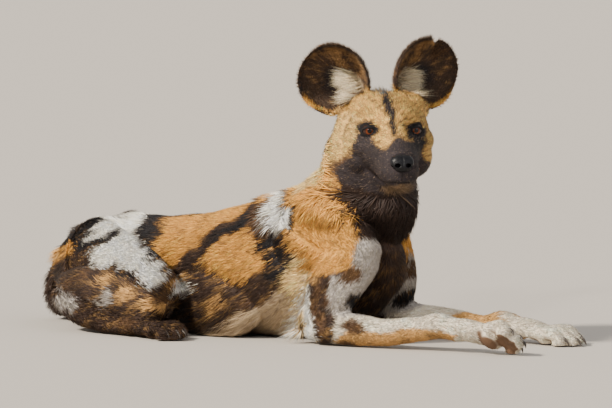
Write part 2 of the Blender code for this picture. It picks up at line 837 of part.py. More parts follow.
def swollen(obj, amount):
    wide = copy_object(obj, "swollen")
    swell = wide.modifiers.new("swell", "DISPLACE")
    swell.strength = amount
    swell.mid_level = 0.0
    apply_modifiers(wide)
    return wide


# Cuts a node out of the body along a region, and keeps the gap to what is left
def carve(body, name, region):
    node = copy_object(body, name)
    wide = swollen(region, GAP * 1.2)
    boolean(node, "INTERSECT", region, "MANIFOLD")
    keep_largest(node)
    boolean(body, "DIFFERENCE", wide, "MANIFOLD")
    return node


# Flat cuts: the wrist and the block in front of it, and the line from the withers to the chest where the
# neck parts from the torso, with the block above that line
WRIST = (0.382, 0.096, 0.04)
PAW_BLOCK = (0.22, 0.085, 0.16)
WITHERS = (0.020, 0, 0.235)
CHEST = (0.195, 0, 0.150)
NECK_BLOCK = (0.30, 0.24, 0.40)


def make_body_nodes(nodes):
    body = build_body()
    tree = surface_tree(body)
    head_cut = head_block("head_cut", GAP)
    head_cut.data.transform(head_matrix())
    boolean(body, "DIFFERENCE", head_cut)
    for side_name, side in SIDES.items():
        arm, forearm = foreleg(side)
        thigh, shank, foot = hind_leg(side)
        paw = "forepaw_" + side_name
        wrist = Vector((WRIST[0], side * WRIST[1], WRIST[2]))
        nodes[paw] = carve(body, paw, block("paw_block", wrist, (1, 0, 0), PAW_BLOCK))
        for part, rings in (("forearm_", forearm), ("upper_arm_", arm)):
            nodes[part + side_name] = carve(body, part + side_name, loft_region(rings, LIMB_MARGIN))
        toes = Ring((-0.13, side * 0.168, 0.017), 0.040, 0.030)
        for part, rings, grow in (
            ("hind_foot_", [*foot, toes], FOOT_MARGIN),
            ("shank_", shank, LIMB_MARGIN),
            ("thigh_", thigh, LIMB_MARGIN),
        ):
            nodes[part + side_name] = carve(body, part + side_name, loft_region(rings, grow))
    for name, first, last in (("tail_tip", 5, 9), ("tail_middle", 3, 6), ("tail_base", 1, 4)):
        nodes[name] = carve(body, name, loft_region(TAIL[first:last], TAIL_MARGIN))
    chord = Vector(CHEST) - Vector(WITHERS)
    facing = chord.cross(Vector((0, 1, 0))).normalized()
    middle = (Vector(WITHERS) + Vector(CHEST)) / 2
    nodes["neck"] = carve(body, "neck", block("neck_block", middle, facing, NECK_BLOCK))
    keep_largest(body)
    nodes["torso"] = body
    add_ruff(nodes, tree)
    add_brush(nodes, tree)


# Locks

# How locks grow on one node: the seed, their length, half width and thickness, how far the root is sunk,
# how high the tip stands off, the least distance between roots, and whether they hug the skin
class Locks:
    def __init__(self, seed, length, half, thickness, sunk, lift, spacing, hugs):
        self.chance = random.Random(seed)
        self.length = length
        self.half = half
        self.thickness = thickness
        self.sunk = sunk
        self.lift = lift
        self.spacing = spacing
        self.hugs = hugs


# Share of the half width and of the thickness at each station of a lock, from the root to the tip
LOCK_SECTIONS = ((0.60, 0.8), (1.0, 1.0), (0.75, 0.8))
LOCK_TURN = 0.25
# Locks on faces that look up lie flatter
NAPE_LIFT = 0.6
# The sunk part of a lock stays this far from the nodes next to it, and roots are this high over the floor
ROOT_CLEARANCE = 0.006
ROOT_HEIGHT = 0.004
# Random places tried for roots on each node, and how near the body's own surface they have to be
ROOT_TRIES = 3000
ON_SURFACE = 0.0004
# Height of the stations over the skin, as shares of the lift
LOCK_HEIGHTS = (0.0, 0.36, 0.62, 1.0)


def neck_lie(point):
    return Vector((-0.35, 0, -1))


def tail_lie(point):
    middle = [Vector(values[:3]) for values in smooth_values(TAIL, 4)]
    nearest = min(range(len(middle)), key=lambda i: (middle[i] - point).length)
    before = middle[max(nearest - 1, 0)]
    after = middle[min(nearest + 1, len(middle) - 1)]
    return after - before


def surface_tree(obj):
    points = [vert.co.copy() for vert in obj.data.vertices]
    return BVHTree.FromPolygons(points, [tuple(polygon.vertices) for polygon in obj.data.polygons])


# Roots spread at random over the outer faces of a node that are also faces of the whole body
def lock_roots(node, tree, locks):
    mesh = node.data
    mesh.calc_loop_triangles()
    points = [v.co for v in mesh.vertices]
    corners = [[points[i] for i in triangle.vertices] for triangle in mesh.loop_triangles]
    areas = [(b - a).cross(c - a).length for a, b, c in corners]
    roots = []
    for a, b, c in locks.chance.choices(corners, areas, k=ROOT_TRIES):
        s, t = sorted((locks.chance.random(), locks.chance.random()))
        at = a * s + b * (t - s) + c * (1 - t)
        nearest, normal, _, distance = tree.find_nearest(at)
        if distance > ON_SURFACE or nearest.z < ROOT_HEIGHT:
            continue
        if all((at - other).length > locks.spacing for other, _ in roots):
            roots.append((at, normal))
    return roots


# Stations of a lock: where it is, its upward direction and the direction in which it goes
def lock_stations(root, normal, lie, tree, locks):
    steps = len(LOCK_SECTIONS)
    length = locks.length * locks.chance.uniform(0.85, 1.15)
    turn = locks.chance.uniform(-LOCK_TURN, LOCK_TURN)
    lift = locks.lift * locks.chance.uniform(0.7, 1.2) * (NAPE_LIFT if normal.z > 0.2 else 1.0)
    foot = root.copy()
    upward = normal.copy()
    out = []
    for step in range(steps + 1):
        share = step / steps
        flow = lie(foot)
        flow = (flow - upward * flow.dot(upward)).normalized()
        flow = Matrix.Rotation(turn * (2 * share - 0.6), 3, upward) @ flow
        height = lift * LOCK_HEIGHTS[step] if step else -locks.sunk
        out.append((foot + upward * height, upward.copy(), flow))
        foot = foot + flow * (length / steps)
        if locks.hugs:
            foot, found, _, _ = tree.find_nearest(foot)
            upward = (upward * 0.4 + found * 0.6).normalized()
    return out


# A flat three-sided blade through the stations, with a ridge along its back
def add_lock(bm, stations, locks):
    loops = []
    for (at, upward, flow), (wide, thick) in zip(stations, LOCK_SECTIONS):
        across = flow.cross(upward).normalized()
        half = across * (locks.half * wide)
        ridge = upward * (locks.thickness * thick)
        loops.append([bm.verts.new(at + offset) for offset in (half, ridge, -half)])
    tip = bm.verts.new(stations[-1][0])
    for near, far in zip(loops, loops[1:]):
        for k in range(3):
            m = (k + 1) % 3
            bm.faces.new((near[k], near[m], far[m], far[k]))
    bm.faces.new(list(reversed(loops[0])))
    for k in range(3):
        bm.faces.new((loops[-1][k], loops[-1][(k + 1) % 3], tip))


# The locks of a node as objects of a collection. Their sunk part keeps away from the neighbours,
# and what still comes too near to one is cut off.
def lock_objects(node, tree, lie, locks, neighbours):
    made = bpy.data.collections.new("locks")
    wide = [swollen(other, GAP * 1.2) for other in neighbours]
    trees = [surface_tree(other) for other in wide]
    for root, normal in lock_roots(node, tree, locks):
        stations = lock_stations(root, normal, lie, tree, locks)
        buried = (stations[0][0], (stations[0][0] + stations[1][0]) / 2)
        if min(other.find_nearest(at)[3] for other in trees for at in buried) < ROOT_CLEARANCE:
            continue
        bm = bmesh.new()
        add_lock(bm, stations, locks)
        lock = mesh_object("lock", bm)
        lock_tree = surface_tree(lock)
        for other, other_tree in zip(wide, trees):
            if lock_tree.overlap(other_tree):
                boolean(lock, "DIFFERENCE", copy_object(other, "cut"), "MANIFOLD")
        bpy.context.scene.collection.objects.unlink(lock)
        made.objects.link(lock)
    for other in wide:
        bpy.data.objects.remove(other)
    return made


# Joins the locks to their node in one union
def grow_locks(node, made):
    bpy.context.scene.collection.children.link(made)
    modifier = node.modifiers.new("union", "BOOLEAN")
    modifier.operation = "UNION"
    modifier.operand_type = "COLLECTION"
    modifier.collection = made
    modifier.solver = "MANIFOLD"
    apply_modifiers(node)
    for lock in list(made.objects):
        bpy.data.objects.remove(lock)
    bpy.data.collections.remove(made)
    boolean(node, "INTERSECT", floor_block())
    keep_largest(node)


def add_ruff(nodes, tree):
    ruff = Locks(7, 0.072, 0.0140, 0.0062, 0.006, 0.012, 0.0208, True)
    neighbours = [nodes[name] for name in ("torso", "upper_arm_right", "upper_arm_left", "head", "jaw")]
    made = lock_objects(nodes["neck"], tree, neck_lie, ruff, neighbours)
    grow_locks(nodes["neck"], made)


def add_brush(nodes, tree):
    neighbours = {
        "tail_middle": ("tail_base", "torso", "hind_foot_left", "tail_tip"),
        "tail_tip": ("tail_base", "torso", "hind_foot_left", "tail_middle"),
    }
    for number, (name, others) in enumerate(neighbours.items()):
        brush = Locks(11 + number, 0.060, 0.0100, 0.0055, 0.004, 0.016, 0.0195, name == "tail_middle")
        made = lock_objects(nodes[name], tree, tail_lie, brush, [nodes[other] for other in others])
        grow_locks(nodes[name], made)


def add_claws(nodes):
    for paw in PAWS:
        for number, (place, forward) in enumerate(TOES, start=1):
            name = f"claw_{paw}_{number}"
            boolean(nodes[paw], "DIFFERENCE", claw_solid("claw_socket", paw, place, forward, GAP))
            nodes[name] = claw_solid(name, paw, place, forward)
        keep_largest(nodes[paw])


# Colour, roughness and metallic value of each material, and the nodes that wear it
MATERIALS = {
    "coat": ((0.55, 0.38, 0.18), 0.85, 0.0),
    "nose_leather": ((0.03, 0.03, 0.035), 0.35, 0.0),
    "eye": ((0.25, 0.09, 0.02), 0.08, 0.0),
    "claw": ((0.06, 0.05, 0.045), 0.45, 0.0),
}


def material_name(node):
    if node == "nose":
        return "nose_leather"
    kind = node.split("_")[0]
    return kind if kind in MATERIALS else "coat"


def paint(nodes):
    made = {}
    for name, (colour, roughness, metallic) in MATERIALS.items():
        material = bpy.data.materials.new(name)
        material.use_nodes = True
        shader = material.node_tree.nodes["Principled BSDF"]
        shader.inputs["Base Color"].default_value = (*colour, 1)
        shader.inputs["Roughness"].default_value = roughness
        shader.inputs["Metallic"].default_value = metallic
        made[name] = material
    for name, node in nodes.items():
        node.name = name
        node.data.materials.clear()
        node.data.materials.append(made[material_name(name)])
        node.data.set_sharp_from_angle(angle=math.radians(50))


clear_scene()
nodes = make_head_nodes()
make_body_nodes(nodes)
add_claws(nodes)
paint(nodes)
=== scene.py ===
import math

import bmesh
import bpy
import numpy as np
from mathutils import Euler, Matrix, Vector
from mathutils.bvhtree import BVHTree


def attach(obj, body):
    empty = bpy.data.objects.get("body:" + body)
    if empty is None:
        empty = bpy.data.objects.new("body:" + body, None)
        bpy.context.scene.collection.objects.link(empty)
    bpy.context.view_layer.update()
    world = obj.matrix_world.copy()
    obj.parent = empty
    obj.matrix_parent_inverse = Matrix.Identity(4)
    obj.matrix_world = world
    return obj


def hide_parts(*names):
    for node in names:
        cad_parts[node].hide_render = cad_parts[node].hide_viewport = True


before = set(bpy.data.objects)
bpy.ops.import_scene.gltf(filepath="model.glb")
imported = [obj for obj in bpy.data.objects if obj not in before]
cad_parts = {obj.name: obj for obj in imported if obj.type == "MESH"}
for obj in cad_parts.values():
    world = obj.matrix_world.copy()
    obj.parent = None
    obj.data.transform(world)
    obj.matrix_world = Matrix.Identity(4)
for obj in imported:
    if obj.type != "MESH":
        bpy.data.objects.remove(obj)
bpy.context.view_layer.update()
print("frame loaded,", len(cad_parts), "nodes")

sides = {"right": -1, "left": 1}  # the dog's own right is -Y


# Shared mesh tools

def meshObject(name, bm):
    bmesh.ops.recalc_face_normals(bm, faces=bm.faces)
    mesh = bpy.data.meshes.new(name)
    bm.to_mesh(mesh)
    bm.free()
    obj = bpy.data.objects.new(name, mesh)
    bpy.context.scene.collection.objects.link(obj)
    return obj


def applyModifiers(obj):
    graph = bpy.context.evaluated_depsgraph_get()
    mesh = bpy.data.meshes.new_from_object(obj.evaluated_get(graph))
    obj.modifiers.clear()
    obj.data = mesh


def boolean(obj, operation, tool, solver="MANIFOLD"):
    modifier = obj.modifiers.new(operation, "BOOLEAN")
    modifier.operation = operation
    modifier.object = tool
    modifier.solver = solver
    applyModifiers(obj)
    bpy.data.objects.remove(tool)


def readPoints(mesh):
    points = np.empty(len(mesh.vertices) * 3)
    mesh.vertices.foreach_get("co", points)
    return points.reshape(-1, 3)


def readNormals(mesh):
    normals = np.empty(len(mesh.vertices) * 3, np.float32)
    mesh.vertex_normals.foreach_get("vector", normals)
    return normals.reshape(-1, 3).astype(float)


def writePoints(mesh, points):
    mesh.vertices.foreach_set("co", points.ravel())
    mesh.update()


def unit(vectors):
    return vectors / np.maximum(np.linalg.norm(vectors, axis=1, keepdims=True), 1e-9)


def ramp(values, start, end):  # smooth step from 0 at start to 1 at end
    t = np.clip((values - start) / (end - start), 0, 1)
    return t * t * (3 - 2 * t)


noise = {"waves": 7, "lengths": (1.2, 2.6), "level": 3.2}


def waves(points, size, seed):  # soft noise from -1 to 1 with features of about this size
    chance = np.random.default_rng(seed)
    total = np.zeros(len(points))
    for _ in range(noise["waves"]):
        direction = chance.normal(size=3)
        direction /= np.linalg.norm(direction)
        pitch = 2 * math.pi / (size * chance.uniform(*noise["lengths"]))
        total += np.sin(points @ direction * pitch + chance.uniform(0, 6.28))
    return total / noise["level"]


def bell(values, width, middle=0.0):  # 1 at the middle, falling off on both sides over this width
    return np.exp(-(((values - middle) / width) ** 2))


def nearness(away, reach):  # 1 at no distance, falling off all round over this reach
    return np.exp(-np.sum(away**2, axis=1) / reach**2)


# Lofts, the same as the solids' own

def ring(at, side, up, down=None, yaw=0.0):
    return np.array([*at, side, up, up if down is None else down, yaw], float)


def smoothValues(rings, steps):
    keys = np.array(rings)
    keys = np.vstack([2 * keys[0] - keys[1], keys, 2 * keys[-1] - keys[-2]])
    out = []
    for i in range(1, len(keys) - 2):
        before, start, end, after = keys[i - 1 : i + 3]
        for step in range(steps):
            t = step / steps
            bend = 2 * before - 5 * start + 4 * end - after
            twist = 3 * start - before - 3 * end + after
            out.append(0.5 * (2 * start + (end - before) * t + bend * t**2 + twist * t**3))
    out.append(keys[-2])
    return np.array(out)


def addRing(bm, centre, across, upward, side, up, down, count):
    verts = []
    for i in range(count):
        angle = 2 * math.pi * i / count
        height = math.sin(angle)
        reach = up if height > 0 else down
        verts.append(bm.verts.new(centre + across * (side * math.cos(angle)) + upward * (reach * height)))
    return verts


def bridge(bm, loops):
    count = len(loops[0])
    for first, second in zip(loops, loops[1:]):
        for i in range(count):
            j = (i + 1) % count
            bm.faces.new((first[i], first[j], second[j], second[i]))
    bm.faces.new(list(reversed(loops[0])))
    bm.faces.new(loops[-1])


def addLoft(bm, rings, count=28, steps=5, cap=0.75):
    values = smoothValues(rings, steps)
    centres = [Vector(v[:3]) for v in values]
    loops = []
    last = len(values) - 1
    for i, v in enumerate(values):
        travel = (centres[min(i + 1, last)] - centres[max(i - 1, 0)]).normalized()
        yaw = math.radians(v[6])
        aside = Vector((-math.sin(yaw), math.cos(yaw), 0))
        aside = (aside - travel * aside.dot(travel)).normalized()
        upward = travel.cross(aside)
        side, up, down = (max(x, 0.001) for x in v[3:6])
        whole = addRing(bm, centres[i], aside, upward, side, up, down, count)
        if 0 < i < last:
            loops.append(whole)
            continue
        outward = -travel if i == 0 else travel
        length = cap * min(side, (up + down) / 2)
        domes = []
        for turn in (25, 50, 72):
            shrink = math.cos(math.radians(turn))
            at = centres[i] + outward * (length * math.sin(math.radians(turn)))
            domes.append(addRing(bm, at, aside, upward, side * shrink, up * shrink, down * shrink, count))
        loops.extend([*reversed(domes), whole] if i == 0 else [whole, *domes])
    bridge(bm, loops)


def addOval(bm, at, radii, turn=(0, 0, 0), detail=3):
    rotation = Euler([math.radians(a) for a in turn]).to_matrix().to_4x4()
    matrix = Matrix.Translation(at) @ rotation @ Matrix.Diagonal((*radii, 1))
    bmesh.ops.create_icosphere(bm, subdivisions=detail, radius=1, matrix=matrix)


def addMoved(bm, piece, matrix):
    piece.transform(matrix)
    mesh = bpy.data.meshes.new("moved")
    piece.to_mesh(mesh)
    piece.free()
    bm.from_mesh(mesh)
    bpy.data.meshes.remove(mesh)


def fuse(name, bm, voxel, rounds):  # one skin of clay over all the forms, rounded off
    clay = meshObject(name, bm)
    remesh = clay.modifiers.new("remesh", "REMESH")
    remesh.mode = "VOXEL"
    remesh.voxel_size = voxel
    smooth = clay.modifiers.new("smooth", "SMOOTH")
    smooth.factor = 0.5
    smooth.iterations = rounds
    applyModifiers(clay)
    return clay


# Body forms

torso = [  # x, top, bottom and half width, from the rump to the chest
    (-0.432, 0.127, 0.050, 0.044),
    (-0.405, 0.151, 0.026, 0.070),
    (-0.360, 0.177, 0.010, 0.088),
    (-0.300, 0.183, 0.004, 0.092),
    (-0.220, 0.186, -0.003, 0.088),
    (-0.140, 0.196, -0.004, 0.095),
    (-0.060, 0.216, -0.003, 0.101),
    (0.010, 0.236, -0.003, 0.098),
    (0.080, 0.250, 0.010, 0.087),
    (0.145, 0.235, 0.040, 0.070),
    (0.182, 0.205, 0.075, 0.048),
]
neck = [
    ring((0.020, 0, 0.165), 0.080, 0.062, 0.080),
    ring((0.074, 0.003, 0.196), 0.084, 0.066, 0.104),
    ring((0.124, 0.010, 0.242), 0.074, 0.068, 0.110, -8),
    ring((0.141, 0.006, 0.302), 0.066, 0.055, 0.096, -26),
    ring((0.159, 0.008, 0.345), 0.068, 0.055, 0.072, -40),
    ring((0.167, 0.010, 0.365), 0.062, 0.046, 0.056, -45),
]
tail = [
    ring((-0.405, 0, 0.136), 0.030, 0.028),
    ring((-0.440, 0.000, 0.110), 0.0200, 0.0200),
    ring((-0.460, 0.004, 0.070), 0.0165, 0.0165),
    ring((-0.474, 0.030, 0.030), 0.0165, 0.0165),
    ring((-0.474, 0.075, 0.020), 0.0165, 0.0165),
    ring((-0.452, 0.125, 0.020), 0.0165, 0.0165),
    ring((-0.414, 0.168, 0.020), 0.0170, 0.0170),
    ring((-0.366, 0.200, 0.020), 0.0160, 0.0160),
    ring((-0.330, 0.214, 0.018), 0.0090, 0.0090),
]


def torsoRings():
    rings = []
    for x, top, bottom, half in torso:
        middle = bottom + 0.45 * (top - bottom)
        rings.append(ring((x, 0, middle), half, top - middle, middle - bottom))
    return rings


def foreleg(side):
    near = side == sides["right"]
    point = (0.178, side * 0.074, 0.150) if near else (0.142, side * 0.072, 0.150)
    middle = 0.146 if near else 0.136
    wristLift = 0.040 if near else 0.028
    arm = [
        ring((0.058, side * 0.064, 0.205), 0.024, 0.040),
        ring((0.115, side * 0.070, 0.183), 0.030, 0.044),
        ring(point, 0.032, 0.040, 0.048),
        ring((middle, side * 0.092, 0.090), 0.033, 0.044, 0.056),
        ring((0.126, side * 0.103, 0.040), 0.028, 0.034, 0.034),
    ]
    forearm = [
        ring((0.124, side * 0.105, 0.027), 0.028, 0.029),
        ring((0.172, side * 0.105, 0.027), 0.030, 0.028),
        ring((0.240, side * 0.102, 0.024), 0.0235, 0.0245),
        ring((0.310, side * 0.099, wristLift - 0.007), 0.0215, 0.0210),
        ring((0.350, side * 0.097, wristLift), 0.0235, 0.0225),
        ring((0.385, side * 0.096, wristLift - 0.007), 0.0225, 0.0185),
    ]
    return arm, forearm


def hindLeg(side):
    thigh = [
        ring((-0.352, side * 0.058, 0.112), 0.050, 0.070, 0.070),
        ring((-0.295, side * 0.092, 0.104), 0.046, 0.068, 0.066),
        ring((-0.225, side * 0.122, 0.090), 0.040, 0.058, 0.060),
        ring((-0.172, side * 0.138, 0.072), 0.038, 0.044, 0.054),
    ]
    shank = [
        ring((-0.178, side * 0.146, 0.062), 0.034, 0.040, 0.050),
        ring((-0.235, side * 0.146, 0.074), 0.034, 0.040, 0.042),
        ring((-0.305, side * 0.134, 0.084), 0.026, 0.034, 0.028),
        ring((-0.362, side * 0.118, 0.078), 0.018, 0.022, 0.020),
    ]
    foot = [
        ring((-0.368, side * 0.122, 0.058), 0.0200, 0.026, 0.026),
        ring((-0.330, side * 0.130, 0.038), 0.0215, 0.030, 0.030),
        ring((-0.270, side * 0.142, 0.022), 0.0205, 0.022, 0.022),
        ring((-0.215, side * 0.153, 0.017), 0.0210, 0.018, 0.018),
    ]
    return thigh, shank, foot


paws = {  # position, roll, pitch and yaw in degrees, toe reach and toe spacing
    "forepawRight": ((0.430, -0.099, 0.031), (-42, 5, 1), 0.031, 0.0145),
    "forepawLeft": ((0.414, 0.096, 0.019), (4, 7, 0), 0.037, 0.0145),
    "hindFootRight": ((-0.178, -0.160, 0.016), (0, 3, -14), 0.032, 0.0130),
    "hindFootLeft": ((-0.178, 0.160, 0.016), (0, 3, 14), 0.032, 0.0130),
}
toes = ((-1.5, 0.62), (-0.5, 1.0), (0.5, 1.0), (1.5, 0.62))  # place across, and share of the reach
toeBase = 0.040
toeSplay = 1.04


def pawMatrix(name):
    at, turn = paws[name][:2]
    roll, pitch, yaw = (math.radians(a) for a in turn)
    turned = Matrix.Rotation(yaw, 4, "Z") @ Matrix.Rotation(pitch, 4, "Y") @ Matrix.Rotation(roll, 4, "X")
    return Matrix.Translation(at) @ turned


def addPaw(bm, name):  # four arched toes and their pads in front of the broad pad
    reach, spread = paws[name][2:]
    paw = bmesh.new()
    palm = [
        ring((-0.062, 0, 0.004), 0.0200, 0.0175),
        ring((-0.030, 0, 0.003), 0.0225, 0.0165),
        ring((0.004, 0, 0.000), 0.0250, 0.0150, 0.014),
        ring((0.024, 0, -0.002), 0.0255, 0.0125, 0.012),
    ]
    addLoft(paw, palm, count=20)
    for place, forward in toes:
        across = place * spread
        tip = toeBase + reach * forward
        toe = [
            ring((0.016, across * 0.80, 0.002), 0.0085, 0.0100),
            ring((0.016 + 0.58 * (tip - 0.016), across, 0.0065), 0.0090, 0.0100),
            ring((tip, across * toeSplay, -0.003), 0.0085, 0.0088),
        ]
        addLoft(paw, toe, count=14)
        addOval(paw, (tip - 0.006, across * toeSplay, -0.0095), (0.0130, 0.0090, 0.0070), detail=2)
    addOval(paw, (0.022, 0, -0.011), (0.017, 0.0205, 0.0080), detail=2)
    addOval(paw, (0.045, 0, -0.003), (0.024, 0.0210, 0.0085), detail=2)
    addMoved(bm, paw, pawMatrix(name))


def bodyForms():
    bm = bmesh.new()
    addLoft(bm, torsoRings(), count=40, cap=0.5)
    addOval(bm, (-0.350, 0.050, 0.134), (0.045, 0.035, 0.050))
    for side in sides.values():  # haunch and belly, then elbow and shoulder
        addOval(bm, (-0.335, side * 0.045, 0.128), (0.070, 0.045, 0.054))
        addOval(bm, (-0.100, side * 0.066, 0.060), (0.110, 0.048, 0.062))
        for rings in (*foreleg(side), *hindLeg(side)):
            addLoft(bm, rings, count=24)
        addOval(bm, (0.104, side * 0.103, 0.036), (0.022, 0.019, 0.034))
        addOval(bm, (0.072, side * 0.070, 0.168), (0.058, 0.030, 0.076), (0, 28, 0))
    addLoft(bm, neck, count=36)
    addLoft(bm, tail, count=20)
    for name in paws:
        addPaw(bm, name)
    return bm


# Head forms, in the head's own frame: origin midway between the eyes, +X to the nose

headPlace = {"at": (0.2255, -0.048, 0.3495), "yaw": -48.5, "pitch": 1.0}
head = [  # x, top, bottom, half width and the height at which it is widest
    (-0.108, 0.030, -0.030, 0.040, 0.0),
    (-0.094, 0.048, -0.054, 0.058, -0.004),
    (-0.070, 0.059, -0.076, 0.068, -0.010),
    (-0.042, 0.058, -0.084, 0.069, -0.018),
    (-0.014, 0.045, -0.085, 0.060, -0.024),
    (0.010, 0.022, -0.085, 0.046, -0.032),
    (0.030, 0.003, -0.086, 0.038, -0.040),
    (0.055, -0.009, -0.087, 0.0335, -0.048),
    (0.080, -0.018, -0.088, 0.0315, -0.054),
    (0.098, -0.025, -0.085, 0.0265, -0.057),
    (0.106, -0.032, -0.078, 0.018, -0.057),
]
headPushes = [  # soft pushes on the clay: centre, reach and move, the same on both sides
    ((0.006, 0.040, 0.000), 0.015, (-0.0050, -0.0030, 0.0)),
    ((0.018, 0.024, 0.001), 0.016, (-0.0130, -0.0080, 0.0)),
    ((0.030, 0.026, -0.014), 0.014, (-0.0030, -0.0020, 0.0)),
    ((0.020, 0.0, 0.018), 0.014, (-0.0030, 0.0, -0.0030)),
]
mouth = [(0.010, -0.057), (0.030, -0.0700), (0.052, -0.0755), (0.080, -0.0765), (0.103, -0.0745)]

headMatrix = (
    Matrix.Translation(headPlace["at"])
    @ Matrix.Rotation(math.radians(headPlace["yaw"]), 4, "Z")
    @ Matrix.Rotation(math.radians(headPlace["pitch"]), 4, "Y")
)
headTurn = np.array(headMatrix.to_3x3())


def toHead(points):
    return (points - np.array(headPlace["at"])) @ headTurn


def headForms():
    bm = bmesh.new()
    rings = [ring((x, 0, wide), half, top - wide, wide - bottom) for x, top, bottom, half, wide in head]
    addLoft(bm, rings, count=36, cap=0.5)
    for side in sides.values():
        # cheekbone, jaw muscle, brow, temple, ear root and upper lip
        addOval(bm, (-0.030, side * 0.046, -0.022), (0.046, 0.026, 0.024), (0, 8, -side * 24))
        addOval(bm, (-0.050, side * 0.044, -0.046), (0.042, 0.030, 0.036))
        addOval(bm, (-0.004, side * 0.031, 0.010), (0.020, 0.018, 0.0145))
        addOval(bm, (-0.062, side * 0.034, 0.030), (0.040, 0.030, 0.028))
        addOval(bm, (-0.084, side * 0.046, 0.026), (0.028, 0.028, 0.028))
        addOval(bm, (0.066, side * 0.0165, -0.060), (0.042, 0.0175, 0.0165))
    return bm


ears = {
    "radius": 0.0605,
    "thickness": 0.0042,
    "depth": 0.034,
    "root": {"right": (-0.086, 0.0530, 0.0340), "left": (-0.086, 0.0475, 0.0385)},
    "lean": {"right": 36.0, "left": 29.0},
    "back": 8.0,
    "outward": 22.0,
    "centre": 0.050,
    "offset": 0.018,  # of the bottom of the cup, below its centre
    "lip": 0.004,
    "wave": 0.025,
    # on the left rim: degrees round, width and depth in radii
    "notch": (108.0, 8.0, 0.20),
    "tall": (85, 30, 0.035),
    "flat": (12, 28, 0.075),
    "near": 1.3,  # radii from the centre within which a point may be on the ear
    "deep": 0.06,
    "furred": 0.4,  # share of the ear from which its own coat grows
}


def earRim(angle, sideName):
    wave = ears["wave"] * math.sin(3 * angle + 0.6)
    if sideName != "left":
        return 1.0 + wave
    degrees = (math.degrees(angle) + 90) % 360 - 90
    place, width, depth = ears["notch"]
    notch = depth * max(0.0, 1.0 - abs(degrees - place) / width)
    tall, flat = (
        height * math.exp(-(((degrees - middle) / spread) ** 2))
        for middle, spread, height in (ears["tall"], ears["flat"])
    )
    return 1.0 + wave + tall - flat - notch


def earPoint(sideName, share, angle, inner):  # share goes from 0 at the bottom of the cup to 1 at the rim
    reach = ears["radius"] * earRim(angle, sideName) * share
    depth = (1 - share**2.2) ** 0.8
    across = reach * math.cos(angle) * 0.98
    along = reach * math.sin(angle)
    lip = ears["lip"] * share**4
    x = lip - ears["depth"] * depth
    point = Vector((x, across - 0.004 * depth, ears["centre"] + along - ears["offset"] * depth))
    if not inner:
        thickness = ears["thickness"] * (1.15 - 0.5 * share)
        point.x -= thickness * (0.9 if share < 1 else 0.45)
        if share > 0.3:
            point += Vector((0, across, along)).normalized() * (thickness * 0.35 * share)
    return point


def earCup(sideName, sectors=96, rings=14):
    bm = bmesh.new()
    rims = []
    for inner in (True, False):
        hub = bm.verts.new(earPoint(sideName, 0, 0, inner))
        loops = []
        for step in range(1, rings + 1):
            angles = [math.tau * k / sectors for k in range(sectors)]
            loops.append([bm.verts.new(earPoint(sideName, step / rings, a, inner)) for a in angles])
        for k in range(sectors):
            m = (k + 1) % sectors
            bm.faces.new((hub, loops[0][k], loops[0][m]))
            for near, far in zip(loops, loops[1:]):
                bm.faces.new((near[k], far[k], far[m], near[m]))
        rims.append(loops[-1])
    for k in range(sectors):
        m = (k + 1) % sectors
        bm.faces.new((rims[0][k], rims[1][k], rims[1][m], rims[0][m]))
    return bm


def earMatrix(sideName):
    side = sides[sideName]
    x, y, z = ears["root"][sideName]
    return (
        headMatrix
        @ Matrix.Translation((x, side * y, z))
        @ Matrix.Rotation(-side * math.radians(ears["lean"][sideName]), 4, "X")
        @ Matrix.Rotation(-math.radians(ears["back"]), 4, "Y")
        @ Matrix.Rotation(side * math.radians(ears["outward"]), 4, "Z")
        @ Matrix.Diagonal((1, side, 1, 1))
    )


# Eyes and lids

eyes = {
    "radius": 0.0118,
    "place": (-0.0018, 0.0372, 0.0),
    "outward": 24.0,
    "lean": 8.0,
    "opening": (0.0104, 0.0048, 0.0054),  # half width, reach above and below
    "lid": 0.0026,
    "iris": 0.0068,
    "pupil": 0.0034,
}


def eyeMatrix(side):
    x, y, z = eyes["place"]
    return (
        headMatrix
        @ Matrix.Translation((x, side * y, z))
        @ Matrix.Rotation(side * math.radians(eyes["outward"]), 4, "Z")
        @ Matrix.Rotation(-side * math.radians(eyes["lean"]), 4, "X")
    )


def eyeDirection(y, z):  # a point of the opening, as a direction from the middle of the eyeball
    spread = min(math.hypot(y, z) / eyes["radius"], 1.5)
    return Vector((math.cos(spread), 0, 0)) + Vector((0, y, z)).normalized() * math.sin(spread)


def addLidRing(bm, side, sectors=48):
    lids = bmesh.new()
    half, above, below = eyes["opening"]
    thick = eyes["lid"]
    profile = [(-0.0020, -0.0030), (-0.0020, thick * 0.9), (0.0030, thick), (0.0095, -0.0060)]
    loops = []
    for out, lift in profile:
        loop = []
        for k in range(sectors):
            angle = 2 * math.pi * k / sectors
            tall = above if math.sin(angle) > 0 else below
            y = (half + out) * math.cos(angle)
            z = (tall + out) * math.sin(angle) * abs(math.sin(angle)) ** 0.25
            loop.append(lids.verts.new(eyeDirection(y, z) * (eyes["radius"] + 0.0003 + lift)))
        loops.append(loop)
    for near, far in zip(loops, loops[1:] + loops[:1]):
        for k in range(sectors):
            m = (k + 1) % sectors
            lids.faces.new((near[k], near[m], far[m], far[k]))
    bmesh.ops.recalc_face_normals(lids, faces=lids.faces)
    addMoved(bm, lids, eyeMatrix(side))


def lidOpening(side, sectors=40):
    bm = bmesh.new()
    half, above, below = eyes["opening"]
    loops = []
    for reach in (0.4 * eyes["radius"], 1.9 * eyes["radius"]):
        loop = []
        for k in range(sectors):
            angle = 2 * math.pi * k / sectors
            tall = above if math.sin(angle) > 0 else below
            loop.append(bm.verts.new(eyeDirection(half * math.cos(angle), tall * math.sin(angle)) * reach))
        loops.append(loop)
    bridge(bm, loops)
    bm.transform(eyeMatrix(side))
    return meshObject("opening", bm)


